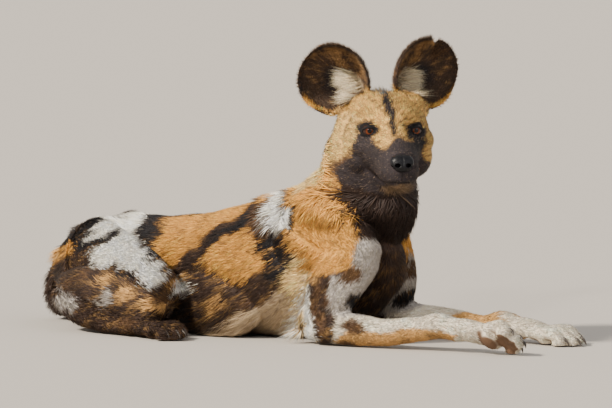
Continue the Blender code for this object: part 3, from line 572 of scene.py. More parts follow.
# Skin: one closed surface over every node of flesh, set in by the depth of the coat

skinLook = {
    "clay": 0.0028,  # voxel of the first, soft fuse
    "fine": 0.0016,  # voxel of the second, with ears and lids
    "triangles": 186000,
    "bodyDepth": 0.0024,
    "headDepth": 0.0009,
    "earDepth": 0.0004,
    "pawDepth": 0.7,  # share of the head's
    "floor": 0.0008,
    "neckTop": (0.232, 0.250),  # heights between which the neck passes into the head
    "lips": (0.008, 0.022),  # where along the muzzle they begin
    "groove": (-0.0026, 0.0016, 0.0),  # height, width and place above the line of the lips
    "upperLip": (0.0014, 0.0030, 0.0050),
    "philtrum": (-0.0014, 0.0011),
    "brow": (0.0022, 0.010, (0.004, 0.030, 0.016)),  # height, reach and place in the head
    "folds": (0.0011, 0.030),  # height and size
    "creases": (0.0010, 420),  # height and pitch of the folds at the elbow and the stifle
    "creased": (((0.128, 0.13, 0.045), 0.030), ((-0.150, 0.16, 0.060), 0.035)),
}


def pushHead(points):
    local = toHead(points)
    for centre, reach, move in headPushes:
        for side in sides.values():
            share = 0.5 if centre[1] == 0 else 1.0
            away = local - np.array((centre[0], side * centre[1], centre[2]))
            weight = share * nearness(away, reach)
            local += weight[:, None] * np.array((move[0], side * move[1], move[2]))
    return local @ headTurn.T + np.array(headPlace["at"])


def mouthLine(local):  # how far points of the head frame are from the line of the lips, and below or above it
    xs, zs = zip(*mouth)
    line = np.interp(local[:, 0], xs, zs)
    return local[:, 2] - line


def skinDetail(points, normals):
    local = toHead(points)
    inHead = ramp(local[:, 0], -0.06, -0.02) * ramp(points[:, 2], *skinLook["neckTop"])
    above = mouthLine(local)
    lips = ramp(local[:, 0], *skinLook["lips"]) * inHead
    groove, upperLip = (
        height * bell(above, width, middle) * lips
        for height, width, middle in (skinLook["groove"], skinLook["upperLip"])
    )
    height, width = skinLook["philtrum"]
    philtrum = height * bell(local[:, 1], width) * ramp(local[:, 0], 0.095, 0.103)
    philtrum *= ramp(-local[:, 2], 0.050, 0.056) * ramp(above, 0.0005, 0.002)
    brow = np.zeros(len(points))
    height, reach, (x, y, z) = skinLook["brow"]
    for side in sides.values():
        brow += height * nearness(local - np.array((x, side * y, z)), reach)
    height, size = skinLook["folds"]
    folds = height * waves(points * (1.0, 1.0, 0.55), size, 3) * (1 - inHead)
    legs = np.zeros(len(points))
    height, pitch = skinLook["creases"]
    for side in sides.values():
        for (x, y, z), size in skinLook["creased"]:
            away = points - np.array((x, side * y, z))
            legs += height * np.sin((points[:, 0] + 0.6 * points[:, 2]) * pitch) * nearness(away, size)
    move = groove + upperLip + philtrum + brow + folds + legs
    return points + normals * move[:, None]


def coatDepth(points):
    inHead = headShare(points)
    inEar = earShare(points)
    depth = skinLook["bodyDepth"] * (1 - inHead) + skinLook["headDepth"] * inHead
    depth = depth * (1 - inEar) + skinLook["earDepth"] * inEar
    x, y, z = points.T
    forepaw = ramp(x, 0.37, 0.42)
    foot = ramp(-z, -0.036, -0.02) * ramp(np.abs(y), 0.135, 0.15) * ramp(-x, 0.0, 0.1)
    thin = np.maximum(forepaw, foot * ramp(x, -0.24, -0.20))
    return depth * (1 - thin) + skinLook["headDepth"] * skinLook["pawDepth"] * thin


def headShare(points):  # 1 on the head, 0 from the neck on
    local = toHead(points)
    return ramp(local[:, 0] + 0.35 * local[:, 2], -0.125, -0.085) * ramp(points[:, 2], *skinLook["neckTop"])


earInverse = {name: np.array(earMatrix(name).inverted()) for name in sides}


def toEar(points, sideName):
    matrix = earInverse[sideName]
    return points @ matrix[:3, :3].T + matrix[:3, 3]


def turnToEar(normals, sideName):
    return normals @ earInverse[sideName][:3, :3].T


def fromEar(local):  # distance from the ear's centre across its disc, in radii
    return np.hypot(local[:, 1], local[:, 2] - ears["centre"]) / ears["radius"]


def nearEar(local):
    return (fromEar(local) < ears["near"]) & (np.abs(local[:, 0]) < ears["deep"])


def earShare(points):  # 1 on the ears, 0 off them
    share = np.zeros(len(points))
    for name in sides:
        local = toEar(points, name)
        near = ramp(-fromEar(local), -1.25, -1.12) * ramp(local[:, 2], -0.004, 0.012)
        near *= ramp(local[:, 0], -0.055, -0.045)
        share = np.maximum(share, near * ramp(-local[:, 0], -0.03, -0.02))
    return share


detail = {"rest": 0.10, "face": 0.9, "ears": 0.35, "toes": 0.25, "levels": 10}  # what the thinning spares


def thinOut(obj, triangles):  # fewer triangles, with the detail kept on the face, ears and toes
    mesh = obj.data
    points = readPoints(mesh)
    local = toHead(points)
    face = ramp(local[:, 0], -0.05, -0.01) * ramp(points[:, 2], *skinLook["neckTop"])
    weight = detail["rest"] + detail["face"] * face + detail["ears"] * earShare(points)
    weight = np.clip(weight + detail["toes"] * ramp(points[:, 0], 0.42, 0.45), 0, 1)
    group = obj.vertex_groups.new(name="detail")
    levels = detail["levels"]
    for level in range(levels + 1):
        chosen = np.nonzero(np.round(weight * levels) == level)[0]
        if len(chosen):
            group.add(chosen.tolist(), level / levels, "REPLACE")
    modifier = obj.modifiers.new("decimate", "DECIMATE")
    mesh.calc_loop_triangles()
    modifier.ratio = min(1.0, triangles / len(mesh.loop_triangles))
    modifier.vertex_group = "detail"
    modifier.invert_vertex_group = True
    modifier.vertex_group_factor = 1.0
    applyModifiers(obj)
    obj.vertex_groups.clear()


def buildSkin():
    bm = bodyForms()
    addMoved(bm, headForms(), headMatrix)
    clay = fuse("clay", bm, skinLook["clay"], 5)
    writePoints(clay.data, pushHead(readPoints(clay.data)))
    bm = bmesh.new()
    bm.from_mesh(clay.data)
    bpy.data.objects.remove(clay)
    for name, side in sides.items():
        addLidRing(bm, side)
        cup = earCup(name)
        bmesh.ops.recalc_face_normals(cup, faces=cup.faces)
        addMoved(bm, cup, earMatrix(name))
    skin = fuse("skin", bm, skinLook["fine"], 2)
    thinOut(skin, skinLook["triangles"])
    points = readPoints(skin.data)
    normals = readNormals(skin.data)
    points -= normals * coatDepth(points)[:, None]
    points = skinDetail(points, normals)
    points[:, 2] = np.maximum(points[:, 2], skinLook["floor"])
    writePoints(skin.data, points)
    for side in sides.values():
        boolean(skin, "DIFFERENCE", lidOpening(side))
    skin.data.shade_smooth()
    return skin


skin = buildSkin()
skin.data.calc_loop_triangles()
print("skin built,", len(skin.data.loop_triangles), "triangles")


def unwrap(obj):
    bpy.context.view_layer.objects.active = obj
    obj.select_set(True)
    while obj.data.uv_layers:
        obj.data.uv_layers.remove(obj.data.uv_layers[0])
    obj.data.uv_layers.new(name="OFBake")
    bpy.ops.object.mode_set(mode="EDIT")
    bpy.ops.mesh.select_all(action="SELECT")
    bpy.ops.uv.smart_project(angle_limit=math.radians(66), island_margin=0.002)
    bpy.ops.object.mode_set(mode="OBJECT")


unwrap(skin)
print("skin unwrapped")


# Markings

def linear(red, green, blue):  # a colour as seen, from 0 to 255, in the renderer's own scale
    values = np.array((red, green, blue)) / 255
    return np.where(values <= 0.04045, values / 12.92, ((values + 0.055) / 1.055) ** 2.4)


colours = {
    "gold": linear(234, 170, 82),
    "tan": linear(212, 164, 100),
    "cream": linear(244, 208, 142),
    "pale": linear(244, 230, 208),
    "face": linear(230, 178, 100),
    "white": linear(252, 246, 234),
    "cheek": linear(238, 192, 118),
    "hoar": linear(132, 112, 96),
    "black": linear(30, 27, 30),
    "brown": linear(62, 46, 38),
    "umber": linear(96, 70, 48),
    "grey": linear(186, 178, 170),
    "belly": linear(190, 166, 134),
    "muzzle": linear(52, 45, 47),
    "chin": linear(120, 98, 74),
    "slate": linear(104, 112, 118),
    "earInside": linear(64, 48, 36),
    "earLight": linear(156, 118, 74),
    "earTuft": linear(242, 222, 186),
    "pad": linear(112, 86, 66),
    "throat": linear(46, 32, 26),
}

# Where the markings lie, as the picture shows them, in its pixels. A pixel is 1/610 m, seen from the
# camera's side, and the far side of the body carries the near side's pattern turned over and shifted.
view = {
    "scale": 610.0,  # photo pixels to the metre
    "centre": 292.0,
    "floor": 334.7,
    "across": (0.8387, 0.5446),
    "down": (-0.0475, 0.0731, 0.9962),
}

bodyPatches = [
    ("brown", [(40, 190), (330, 150), (330, 350), (40, 350)]),
    ("black", [
        (60, 250), (66, 236), (80, 226), (96, 216), (112, 213), (140, 212), (132, 224), (104, 242), (80, 252),
    ]),
    ("white", [(80, 242), (97, 220), (110, 215), (130, 216), (124, 226), (112, 228), (97, 236)]),
    ("white", [
        (138, 212), (162, 212), (154, 222), (140, 232), (138, 243), (147, 256), (165, 269), (161, 279),
        (150, 286), (139, 281), (137, 269), (115, 267), (88, 265), (91, 252), (105, 240), (122, 227),
    ]),
    ("black", [
        (150, 206), (228, 204), (222, 216), (190, 216), (170, 219), (158, 233), (150, 262), (143, 246),
        (142, 232),
    ]),
    ("gold", [
        (169, 221), (180, 216), (208, 214), (222, 212), (258, 198), (266, 196), (264, 206), (246, 213),
        (226, 224), (210, 234), (200, 246), (188, 256), (180, 268), (166, 264), (160, 256), (161, 242),
    ]),
    ("brown", [(158, 262), (176, 268), (190, 254), (194, 258), (178, 274), (160, 272)]),
    ("white", [(175, 277), (186, 272), (193, 280), (197, 290), (187, 296), (174, 290)]),
    ("gold", [
        (212, 246), (228, 237), (252, 224), (261, 226), (264, 242), (271, 254), (269, 270), (253, 277),
        (233, 277), (214, 268), (206, 259),
    ]),
    ("black", [
        (200, 262), (216, 236), (240, 222), (262, 200), (286, 186), (296, 184), (276, 206), (258, 222),
        (232, 234), (214, 246),
    ]),
    ("belly", [
        (312, 262), (290, 273), (284, 286), (272, 300), (248, 310), (226, 322), (200, 334), (190, 350),
        (340, 350), (330, 280),
    ]),
    ("gold", [(50, 246), (69, 242), (66, 256), (56, 262), (50, 262)]),
    ("grey", [(55, 286), (74, 294), (72, 308), (67, 316), (56, 310)]),
    ("tan", [(214, 292), (226, 296), (230, 304), (222, 310), (212, 304)]),
]
bodySpots = [  # colour, centre and half sizes
    ("umber", (85, 275), (5, 5)),
    ("tan", (109, 281), (7, 8)),
    ("umber", (71, 284), (5, 4)),
    ("tan", (128, 297), (9, 7)),
    ("tan", (169, 282), (5, 4)),
    ("tan", (191, 274), (4, 5)),
    ("tan", (154, 305), (12, 5)),
    ("umber", (162, 296), (9, 4)),
    ("umber", (121, 322), (13, 5)),
    ("umber", (197, 324), (13, 5)),
    ("umber", (247, 301), (7, 4)),
    ("grey", (106, 300), (6, 7)),
    ("black", (127, 276), (5, 5)),
]
shoulderPatches = [  # on the torso, neck and arm alike
    ("gold", [
        (290, 192), (300, 176), (330, 160), (352, 160), (362, 240), (360, 262), (344, 267), (328, 275),
        (312, 274), (302, 260), (290, 240), (286, 230),
    ]),
    ("black", [
        (266, 206), (278, 196), (292, 186), (298, 186), (298, 200), (290, 226), (284, 236), (296, 254),
        (298, 276), (290, 286), (272, 276), (268, 254), (262, 234),
    ]),
    ("umber", [(264, 206), (274, 200), (272, 218), (266, 236), (262, 224)]),
    ("white", [(280, 194), (292, 188), (290, 208), (285, 229), (277, 233), (274, 218), (275, 206)]),
    ("cream", [(296, 252), (307, 257), (308, 290), (314, 340), (302, 340), (300, 300), (290, 284)]),
    ("white", [(304, 284), (309, 283), (310, 300), (315, 340), (302, 340)]),
]
neckPatches = [
    ("gold", [(270, 140), (440, 140), (440, 300), (270, 300)]),
    ("cream", [(316, 120), (338, 120), (332, 172), (312, 190), (300, 184)]),
    *shoulderPatches[1:],
    ("throat", [
        (334, 172), (345, 178), (344, 196), (352, 208), (352, 224), (356, 234), (364, 246), (380, 256),
        (384, 300), (440, 300), (440, 120), (352, 120),
    ]),
]
legPatches = [
    *shoulderPatches,
    ("brown", [
        (304, 258), (312, 272), (328, 274), (334, 300), (330, 345), (316, 345), (310, 300), (309, 280),
    ]),
    ("throat", [(350, 150), (440, 150), (440, 246), (380, 246), (362, 238), (352, 226)]),
    ("grey", [
        (360, 236), (380, 240), (440, 246), (440, 318), (336, 316), (325, 307), (330, 288), (333, 276),
        (346, 272),
    ]),
    ("umber", [(342, 268), (356, 261), (361, 268), (361, 280), (350, 283), (341, 278)]),
    ("black", [(345, 302), (351, 294), (362, 295), (360, 308), (352, 311)]),
    ("pale", [
        (330, 330), (338, 316), (380, 314), (450, 296), (480, 300), (600, 320), (600, 370), (330, 360),
    ]),
    ("tan", [(334, 336), (344, 329), (366, 333), (420, 328), (444, 330), (452, 338), (452, 362), (334, 362)]),
    ("umber", [(338, 324), (352, 320), (362, 325), (360, 334), (346, 334)]),
]
legSpots = [
    ("umber", (318, 286), (4, 8)),
    ("umber", (321, 322), (4, 12)),
    ("umber", (315, 306), (3, 12)),
    ("tan", (312, 278), (4, 3)),
    ("umber", (326, 300), (3, 7)),
    ("umber", (344, 344), (10, 6)),
]
headPatches = [
    ("face", [(290, 60), (450, 60), (450, 200), (290, 200)]),
    ("cheek", [
        (322, 118), (350, 112), (361, 122), (355, 148), (347, 160), (326, 170), (312, 176), (308, 150),
    ]),
    ("gold", [(290, 178), (322, 164), (344, 180), (350, 230), (290, 230)]),
    ("umber", [(328, 168), (350, 154), (364, 184), (340, 184)]),
    ("throat", [
        (334, 171), (344, 176), (352, 182), (384, 188), (404, 190), (424, 182), (440, 164), (440, 230),
        (348, 230), (342, 196),
    ]),
    ("muzzle", [
        (358, 134), (352, 148), (353, 158), (342, 164), (332, 172), (340, 183), (360, 189), (382, 193),
        (404, 193), (420, 184), (436, 170), (433, 163), (424, 160), (421, 148), (422, 140), (416, 137),
        (410, 144), (404, 140), (397, 137), (392, 141), (385, 150), (377, 146), (372, 138),
    ]),
    ("chin", [(380, 187), (388, 185), (404, 184), (414, 182), (410, 189), (400, 192), (388, 192)]),
    ("black", [
        (381, 90), (388, 90), (393, 103), (396, 114), (395, 124), (396, 138), (391, 138), (388, 124),
        (386, 112), (382, 100),
    ]),
    ("slate", [(371, 84), (390, 84), (390, 89), (382, 95), (372, 90)]),
]
headSpots = [
    ("black", (367.5, 130), (10.5, 8.5)),
    ("black", (415, 132), (9.5, 10.0)),
    ("black", (419, 144), (6, 8)),
    ("muzzle", (366, 142), (8, 8)),
]


def toPicture(points, mirrored):
    across = np.where(mirrored, -np.abs(points[:, 1]), points[:, 1])
    u = view["centre"] + view["scale"] * (view["across"][0] * points[:, 0] + view["across"][1] * across)
    x, y, z = view["down"]
    v = view["floor"] - view["scale"] * (x * points[:, 0] + y * across + z * points[:, 2])
    return np.stack([u, v], axis=1)


def insidePatch(at, corners):  # signed distance in pixels, positive inside
    corners = np.array(corners, float)
    best = np.full(len(at), 1e9)
    inside = np.zeros(len(at), bool)
    for a, b in zip(corners, np.roll(corners, -1, axis=0)):
        edge = b - a
        away = at - a
        t = np.clip(away @ edge / (edge @ edge), 0, 1)
        best = np.minimum(best, np.linalg.norm(away - t[:, None] * edge, axis=1))
        crosses = (a[1] > at[:, 1]) != (b[1] > at[:, 1])
        with np.errstate(divide="ignore", invalid="ignore"):
            x = a[0] + (at[:, 1] - a[1]) * edge[0] / edge[1]
        inside ^= crosses & (at[:, 0] < x)
    return np.where(inside, best, -best)


def blend(colour, target, share):  # each point's colour goes this share of the way to the target
    colour += (target - colour) * share[:, None]
    return colour


def layPatches(colour, at, patches, spots, soft):
    for name, corners in patches:
        blend(colour, colours[name], ramp(insidePatch(at, corners), -soft, soft))
    for name, centre, size in spots:
        away = np.linalg.norm((at - np.array(centre)) / np.array(size), axis=1)
        blend(colour, colours[name], ramp(-away, -1.0 - soft / min(size), -1.0 + soft / min(size)))
    return colour


# Where on the animal a point is, and which way its coat lies

torsoPart, neckPart, headPart, forelegPart, hindlegPart, tailPart = range(6)


pawRadius = 0.024
blockSize = 20000  # points that are placed at a time


def centreLines():  # rows of place, radius, part and direction
    rows = []

    def addLine(rings, part):
        values = smoothValues(rings, 4)
        travel = unit(np.gradient(values[:, :3], axis=0))
        for v, t in zip(values, travel):
            rows.append([*v[:3], (v[3] + (v[4] + v[5]) / 2) / 2, part, *t])

    addLine(torsoRings(), torsoPart)
    addLine(neck, neckPart)
    for side in sides.values():
        for rings in foreleg(side):
            addLine(rings, forelegPart)
        for rings in hindLeg(side):
            addLine(rings, hindlegPart)
    addLine(tail[1:], tailPart)
    for name, (at, *_) in paws.items():
        forward = np.array(pawMatrix(name).to_3x3())[:, 0]
        part = forelegPart if "fore" in name else hindlegPart
        for step in (0.0, 0.03, 0.06):
            rows.append([*(np.array(at) + forward * step), pawRadius, part, *forward])
    return np.array(rows)


lines = centreLines()


def whereOn(points):  # part number and the direction of its centre line
    part = np.empty(len(points), int)
    travel = np.empty((len(points), 3))
    for start in range(0, len(points), blockSize):
        block = slice(start, start + blockSize)
        away = np.linalg.norm(points[block, None, :] - lines[None, :, :3], axis=2) / lines[None, :, 3]
        nearest = np.argmin(away, axis=1)
        part[block] = lines[nearest, 4]
        travel[block] = lines[nearest, 5:8]
    part[headShare(points) > 0.5] = headPart
    return part, travel


lie = np.array((-0.86, 0.51))  # in the picture, the way the hair of the body points
markLook = {
    "warp": ((0.030, (21, 22), 2.2), (0.010, (23, 24), 1.0)),  # size in metres, seeds and pixels
    "shift": (0.16, (25, 26), 9.0),  # of the far side
    "shiftFrom": (0.0, 0.06),
    "headWarp": 0.45,
    # torn edges: length and width of the streaks, then pixels for torso, neck, head, foreleg, hindleg, tail
    "streak": (16.0, 2.2),
    "torn": (5.5, 5.0, 1.4, 1.5, 4.5, 0.0),
    "shade": ((0.10, 0.012, 31), (0.08, 0.05, 32)),  # amount, size and seed
    "limits": (0.004, 0.92),
}
ticks = {  # for the head and for the body
    "fine": ((4.0, 1.0), (9.0, 1.2)),
    "broad": (0.0140, (15.0, 3.0)),
    "depth": (0.62, 0.38),
    "from": (0.0, 0.15),
    "full": (0.5, 0.75),
    "lit": 0.50,
}


def streaks(at, size, seed):  # soft noise of this length along the lie and width across it, in pixels
    across = np.array((-lie[1], lie[0]))
    return waves(np.stack([at @ lie / size[0], at @ across / size[1], 0 * at[:, 0]], axis=1), 1.0, seed)


def addTicks(colour, points, at, isHead):  # dark hairs among the gold, and tan ones among the low dark parts
    warm = ramp(colour[:, 0] - colour[:, 2], 0.16, 0.45)
    dark = ramp(-colour.mean(axis=1), -0.09, -0.04)
    fine = np.where(isHead, streaks(at, ticks["fine"][0], 35), streaks(at, ticks["fine"][1], 28))
    broad = np.where(isHead, waves(points, ticks["broad"][0], 36), streaks(at, ticks["broad"][1], 29))
    depth, start, full = (np.where(isHead, *ticks[key]) for key in ("depth", "from", "full"))
    ticked = ramp(fine, start, full)
    ticked *= (depth + 0.30 * ramp(broad, -0.2, 0.6)) * warm
    low = ramp(-points[:, 2], -0.20, -0.08) * ~isHead
    lit = ramp(0.6 * fine + 0.7 * broad, 0.25, 0.85) * ticks["lit"] * dark * low
    blend(colour, np.where(isHead[:, None], colours["brown"], colours["umber"]), ticked)
    return blend(colour, colours["tan"] * 0.7, lit)


def waves2(points, size, seeds, pixels):
    return np.stack([waves(points, size, seed) for seed in seeds], axis=1) * pixels


def markings(points, normals, part, jitter=None):
    isHead = part == headPart
    at = toPicture(points, ~isHead)
    warp = sum(waves2(points, *layer) for layer in markLook["warp"])
    far = (points[:, 1] > 0) & ~isHead
    shift = waves2(points, *markLook["shift"])
    warp = np.where(isHead[:, None], warp * markLook["headWarp"], warp)
    at = at + warp + shift * (ramp(points[:, 1], *markLook["shiftFrom"]) * far)[:, None]
    torn = streaks(at, markLook["streak"], 27) * np.choose(part, markLook["torn"])
    at = at + torn[:, None] * lie
    if jitter is not None:
        at = at + jitter
    colour = np.tile(colours["brown"], (len(points), 1))
    body = np.isin(part, (torsoPart, hindlegPart))
    for chosen, patches, spots, soft in (
        (body, bodyPatches + shoulderPatches, bodySpots, 1.8),
        (part == neckPart, neckPatches, [], 3.0),
        (part == forelegPart, legPatches, legSpots, 1.5),
        (isHead, headPatches, headSpots, 1.8),
    ):
        colour[chosen] = layPatches(colour[chosen], at[chosen], patches, spots, soft)
    colour = addTicks(colour, points, at, isHead)
    colour = tailMarkings(colour, points, part)
    colour = earMarkings(colour, points, normals)
    colour = padMarkings(colour, points, normals)
    shade = 1 + sum(amount * waves(points, size, seed) for amount, size, seed in markLook["shade"])
    return np.clip(colour * shade[:, None], *markLook["limits"])


tailLook = {"rootHeight": (0.085, 0.105), "brushFrom": (0.105, 0.125)}  # the brush by distance to the left


def tailMarkings(colour, points, part):  # tan root, black-brown middle and white brush
    chosen = part == tailPart
    at = points[chosen]
    here = np.tile(colours["brown"], (len(at), 1))
    blend(here, colours["tan"], ramp(at[:, 2], *tailLook["rootHeight"]))
    blend(here, colours["white"], ramp(at[:, 1] + 0.010 * waves(at, 0.02, 41), *tailLook["brushFrom"]))
    colour[chosen] = here
    return colour


earLook = {  # how much of each colour; places are in radii of the ear, from its centre
    "inside": (-0.15, 0.25),  # of the facing, from the back of the cup to its inside
    "mottle": ((0.5, 0.010, 51), (0.5, 0.6, 52)),
    "light": 0.75,
    "dark": (0.85, (0.15, -0.05), (-0.55, -0.15)),
    "tuft": (0.35, (-0.26, -0.40), (0.22, 0.42)),
    "rim": (0.8, (0.88, 0.96)),
    "edge": (0.3, 0.8),
}


def discPlace(local):  # across and up an ear's disc, in radii from its centre
    return local[:, 1] / ears["radius"], (local[:, 2] - ears["centre"]) / ears["radius"]


def earMarkings(colour, points, normals):
    share = earShare(points)
    for name in sides:
        local = toEar(points, name)
        near = (share > earLook["edge"][0]) & nearEar(local)
        at = local[near]
        y, z = discPlace(at)
        away = np.hypot(y, z)
        (amount, size, seed), (fanAmount, fanSize, fanSeed) = earLook["mottle"]
        fan = np.stack([9.0 * np.arctan2(z, y), 1.2 * away, 0 * y], axis=1)
        mottle = amount * waves(at, size, seed) + fanAmount * waves(fan, fanSize, fanSeed)
        inner = np.tile(colours["earInside"], (len(at), 1))
        blend(inner, colours["earLight"], ramp(mottle + 0.3 * z - 0.8 * y, -0.1, 0.9) * earLook["light"])
        amount, (darkY, darkZ), reach = earLook["dark"]
        blend(inner, colours["black"], ramp(-np.hypot(y - darkY, z - darkZ), *reach) * amount)
        blend(inner, colours["earTuft"], earTuftShare(y, z) * earLook["tuft"][0])
        amount, reach = earLook["rim"]
        blend(inner, colours["black"], ramp(away, *reach) * amount)
        low = ramp(y, -0.2, 0.2) * ramp(-z, -0.25, 0.15) * ramp(away, 0.88, 0.95)
        blend(inner, colours["gold"], low)
        here = np.tile(colours["umber"], (len(at), 1))
        blend(here, colours["brown"], ramp(mottle + away, 0.6, 1.1))
        blend(here, inner, ramp(turnToEar(normals, name)[near][:, 0], *earLook["inside"]))
        colour[near] = blend(colour[near], here, ramp(share[near], *earLook["edge"]))
    return colour


def earTuftShare(y, z):  # where the long pale hair of the ear is rooted
    _, (middleY, middleZ), (halfY, halfZ) = earLook["tuft"]
    oval = ramp(-np.hypot((y - middleY) / halfY, (z - middleZ) / halfZ), -1.05, -0.70)
    return oval * ramp(-np.hypot(y, z), -0.97, -0.90)


pads = {"back": -0.002, "front": 0.1, "half": 0.04, "deep": 0.03, "facing": (0.60, 0.85), "bare": 0.65}


def toPaw(points, normals, name):  # places and facings in a paw's own frame, and which may be on its pads
    matrix = np.array(pawMatrix(name).inverted())
    local = points @ matrix[:3, :3].T + matrix[:3, 3]
    near = (local[:, 0] > pads["back"]) & (local[:, 0] < pads["front"])
    near &= (np.abs(local[:, 1]) < pads["half"]) & (np.abs(local[:, 2]) < pads["deep"])
    return local, normals @ matrix[:3, :3].T, near


def padMarkings(colour, points, normals):  # bare pads under the paws
    for name in paws:
        local, turned, near = toPaw(points, normals, name)
        share = ramp(local[:, 0], -0.002, 0.006) * ramp(-turned[:, 2], *pads["facing"])
        blend(colour, colours["pad"], share * ramp(-local[:, 2], 0.002, 0.006) * near)
    return colour


flowLook = {
    "torsoDown": (-0.62, 0.25),  # fall of the hair for each unit back, and less of it at the rump
    "rump": (0.25, 0.42),
    "neck": (-0.45, 0, -1),
    "nose": (0.118, 0.0, -0.050),  # in the head, where the hair of the face fans out from
    "earRoot": -0.035,  # the same for each ear, up from its root
}


def lieOf(points, normals, part, travel):  # the way the hair points, along the skin
    flow = travel.copy()
    isTorso = part == torsoPart
    fall, less = flowLook["torsoDown"]
    down = fall + less * ramp(-points[:, 0], *flowLook["rump"])
    flow[isTorso] = np.stack([-np.ones(len(points)), 0 * down, down], axis=1)[isTorso]
    flow[part == neckPart] = flowLook["neck"]
    fromNose = toHead(points) - np.array(flowLook["nose"])
    fromNose[:, 2] *= 0.8
    flow[part == headPart] = (unit(fromNose) @ headTurn.T)[part == headPart]
    share = earShare(points)
    for name in sides:
        at = toEar(points, name)
        near = (share > ears["furred"]) & nearEar(at)
        radial = at - np.array((0, 0, flowLook["earRoot"]))
        radial[:, 0] *= 0.3
        out = unit(radial) @ np.array(earMatrix(name).to_3x3()).T
        flow[near] = out[near]
    flow = flow - normals * np.sum(flow * normals, axis=1, keepdims=True)
    return unit(flow)


# Coat: solid tufts rooted in the skin

coats = {  # sizes in metres; steps are stations along a tuft, turn and tone spread its direction and colour
    "coat_head": {
        "seed": 101, "count": 46000, "length": 0.0075, "half": 0.00055, "thick": 0.0003, "lift": 0.0011,
        "steps": 1, "turn": 0.25, "tone": 0.42,
    },
    "coat_ears": {
        "seed": 102, "count": 34000, "length": 0.0070, "half": 0.00050, "thick": 0.0003, "lift": 0.0014,
        "steps": 1, "turn": 0.45, "tone": 0.45,
    },
    "coat_eartufts": {
        "seed": 109, "count": 1700, "length": 0.0250, "half": 0.00045, "thick": 0.0004, "lift": 0.0110,
        "steps": 1, "turn": 0.42, "tone": 0.30,
    },
    "coat_back": {
        "seed": 103, "count": 48000, "length": 0.0170, "half": 0.00110, "thick": 0.0005, "lift": 0.0026,
        "steps": 1, "turn": 0.16, "tone": 0.16,
    },
    "coat_flank": {
        "seed": 104, "count": 48000, "length": 0.0180, "half": 0.00110, "thick": 0.0005, "lift": 0.0028,
        "steps": 1, "turn": 0.16, "tone": 0.16,
    },
    "coat_hindlegs": {
        "seed": 105, "count": 48000, "length": 0.0140, "half": 0.00095, "thick": 0.0005, "lift": 0.0022,
        "steps": 1, "turn": 0.20, "tone": 0.16,
    },
    "coat_forelegs": {
        "seed": 106, "count": 48000, "length": 0.0095, "half": 0.00070, "thick": 0.0004, "lift": 0.0014,
        "steps": 1, "turn": 0.20, "tone": 0.16,
    },
    "coat_neck": {
        "seed": 107, "count": 17000, "length": 0.0340, "half": 0.00140, "thick": 0.0007, "lift": 0.0070,
        "steps": 2, "turn": 0.25, "tone": 0.16,
    },
    "coat_tail": {
        "seed": 108, "count": 9000, "length": 0.0420, "half": 0.00110, "thick": 0.0006, "lift": 0.0110,
        "steps": 2, "turn": 0.25, "tone": 0.16,
    },
}
tufts = {
    "sway": (0.20, 0.03),  # amount and size of the turns that neighbours share
    "lengths": (0.7, 1.25),  # ranges of chance, as shares of the coat's own values
    "lifts": (0.4, 1.7),
    "halves": (0.7, 1.2),
    "blues": (0.9, 1.1),
    "carry": 3.4,  # pixels by which hairs carry their colour over an edge, and its share for each part
    "carried": (1.0, 1.0, 0.48, 0.40, 0.9, 1.0),
    "hoar": (0.09, 0.10, 0.75),  # on the muzzle: below which darkness, share of paler hairs, and their tone
    "sunk": 0.0008,
    "taper": 0.8,
    "floor": 0.0006,
    "clear": (0.0012, 0.002),  # lowest station above the floor, and more for longer tufts
    "tones": (0.86, 0.24),  # painted shade: tone at the root, and more at the tip, so each tuft is darker at its root as if the coat shaded it
    "patch": 0.003,  # side of a tuft's patch on the map
}


skinTable = {}


def readSkin():
    if skinTable:
        return skinTable["values"]
    mesh = skin.data
    mesh.calc_loop_triangles()
    total = len(mesh.loop_triangles)
    corners = np.empty(total * 3, np.int32)
    mesh.loop_triangles.foreach_get("vertices", corners)
    loops = np.empty(total * 3, np.int32)
    mesh.loop_triangles.foreach_get("loops", loops)
    corners, loops = corners.reshape(-1, 3), loops.reshape(-1, 3)
    points, normals = readPoints(mesh), readNormals(mesh)
    uv = np.empty(len(mesh.loops) * 2, np.float32)
    mesh.uv_layers["OFBake"].data.foreach_get("uv", uv)
    skinTable["values"] = (points, normals, corners, loops, uv.reshape(-1, 2))
    return skinTable["values"]


def skinSamples(count, chance, weightOf):
    points, normals, corners, loops, uv = readSkin()
    total = len(corners)
    a, b, c = (points[corners[:, i]] for i in range(3))
    area = np.linalg.norm(np.cross(b - a, c - a), axis=1)
    weight = area * weightOf((a + b + c) / 3, unit(np.cross(b - a, c - a)))
    chosen = chance.choice(total, size=count, p=weight / weight.sum())
    s, t = chance.random(count), chance.random(count)
    flip = s + t > 1
    s[flip], t[flip] = 1 - s[flip], 1 - t[flip]
    shares = np.stack([1 - s - t, s, t], axis=1)[:, :, None]
    at = np.sum(points[corners[chosen]] * shares, axis=1)
    facing = unit(np.sum(normals[corners[chosen]] * shares, axis=1))
    return at, facing, np.sum(uv[loops[chosen]] * shares, axis=1)


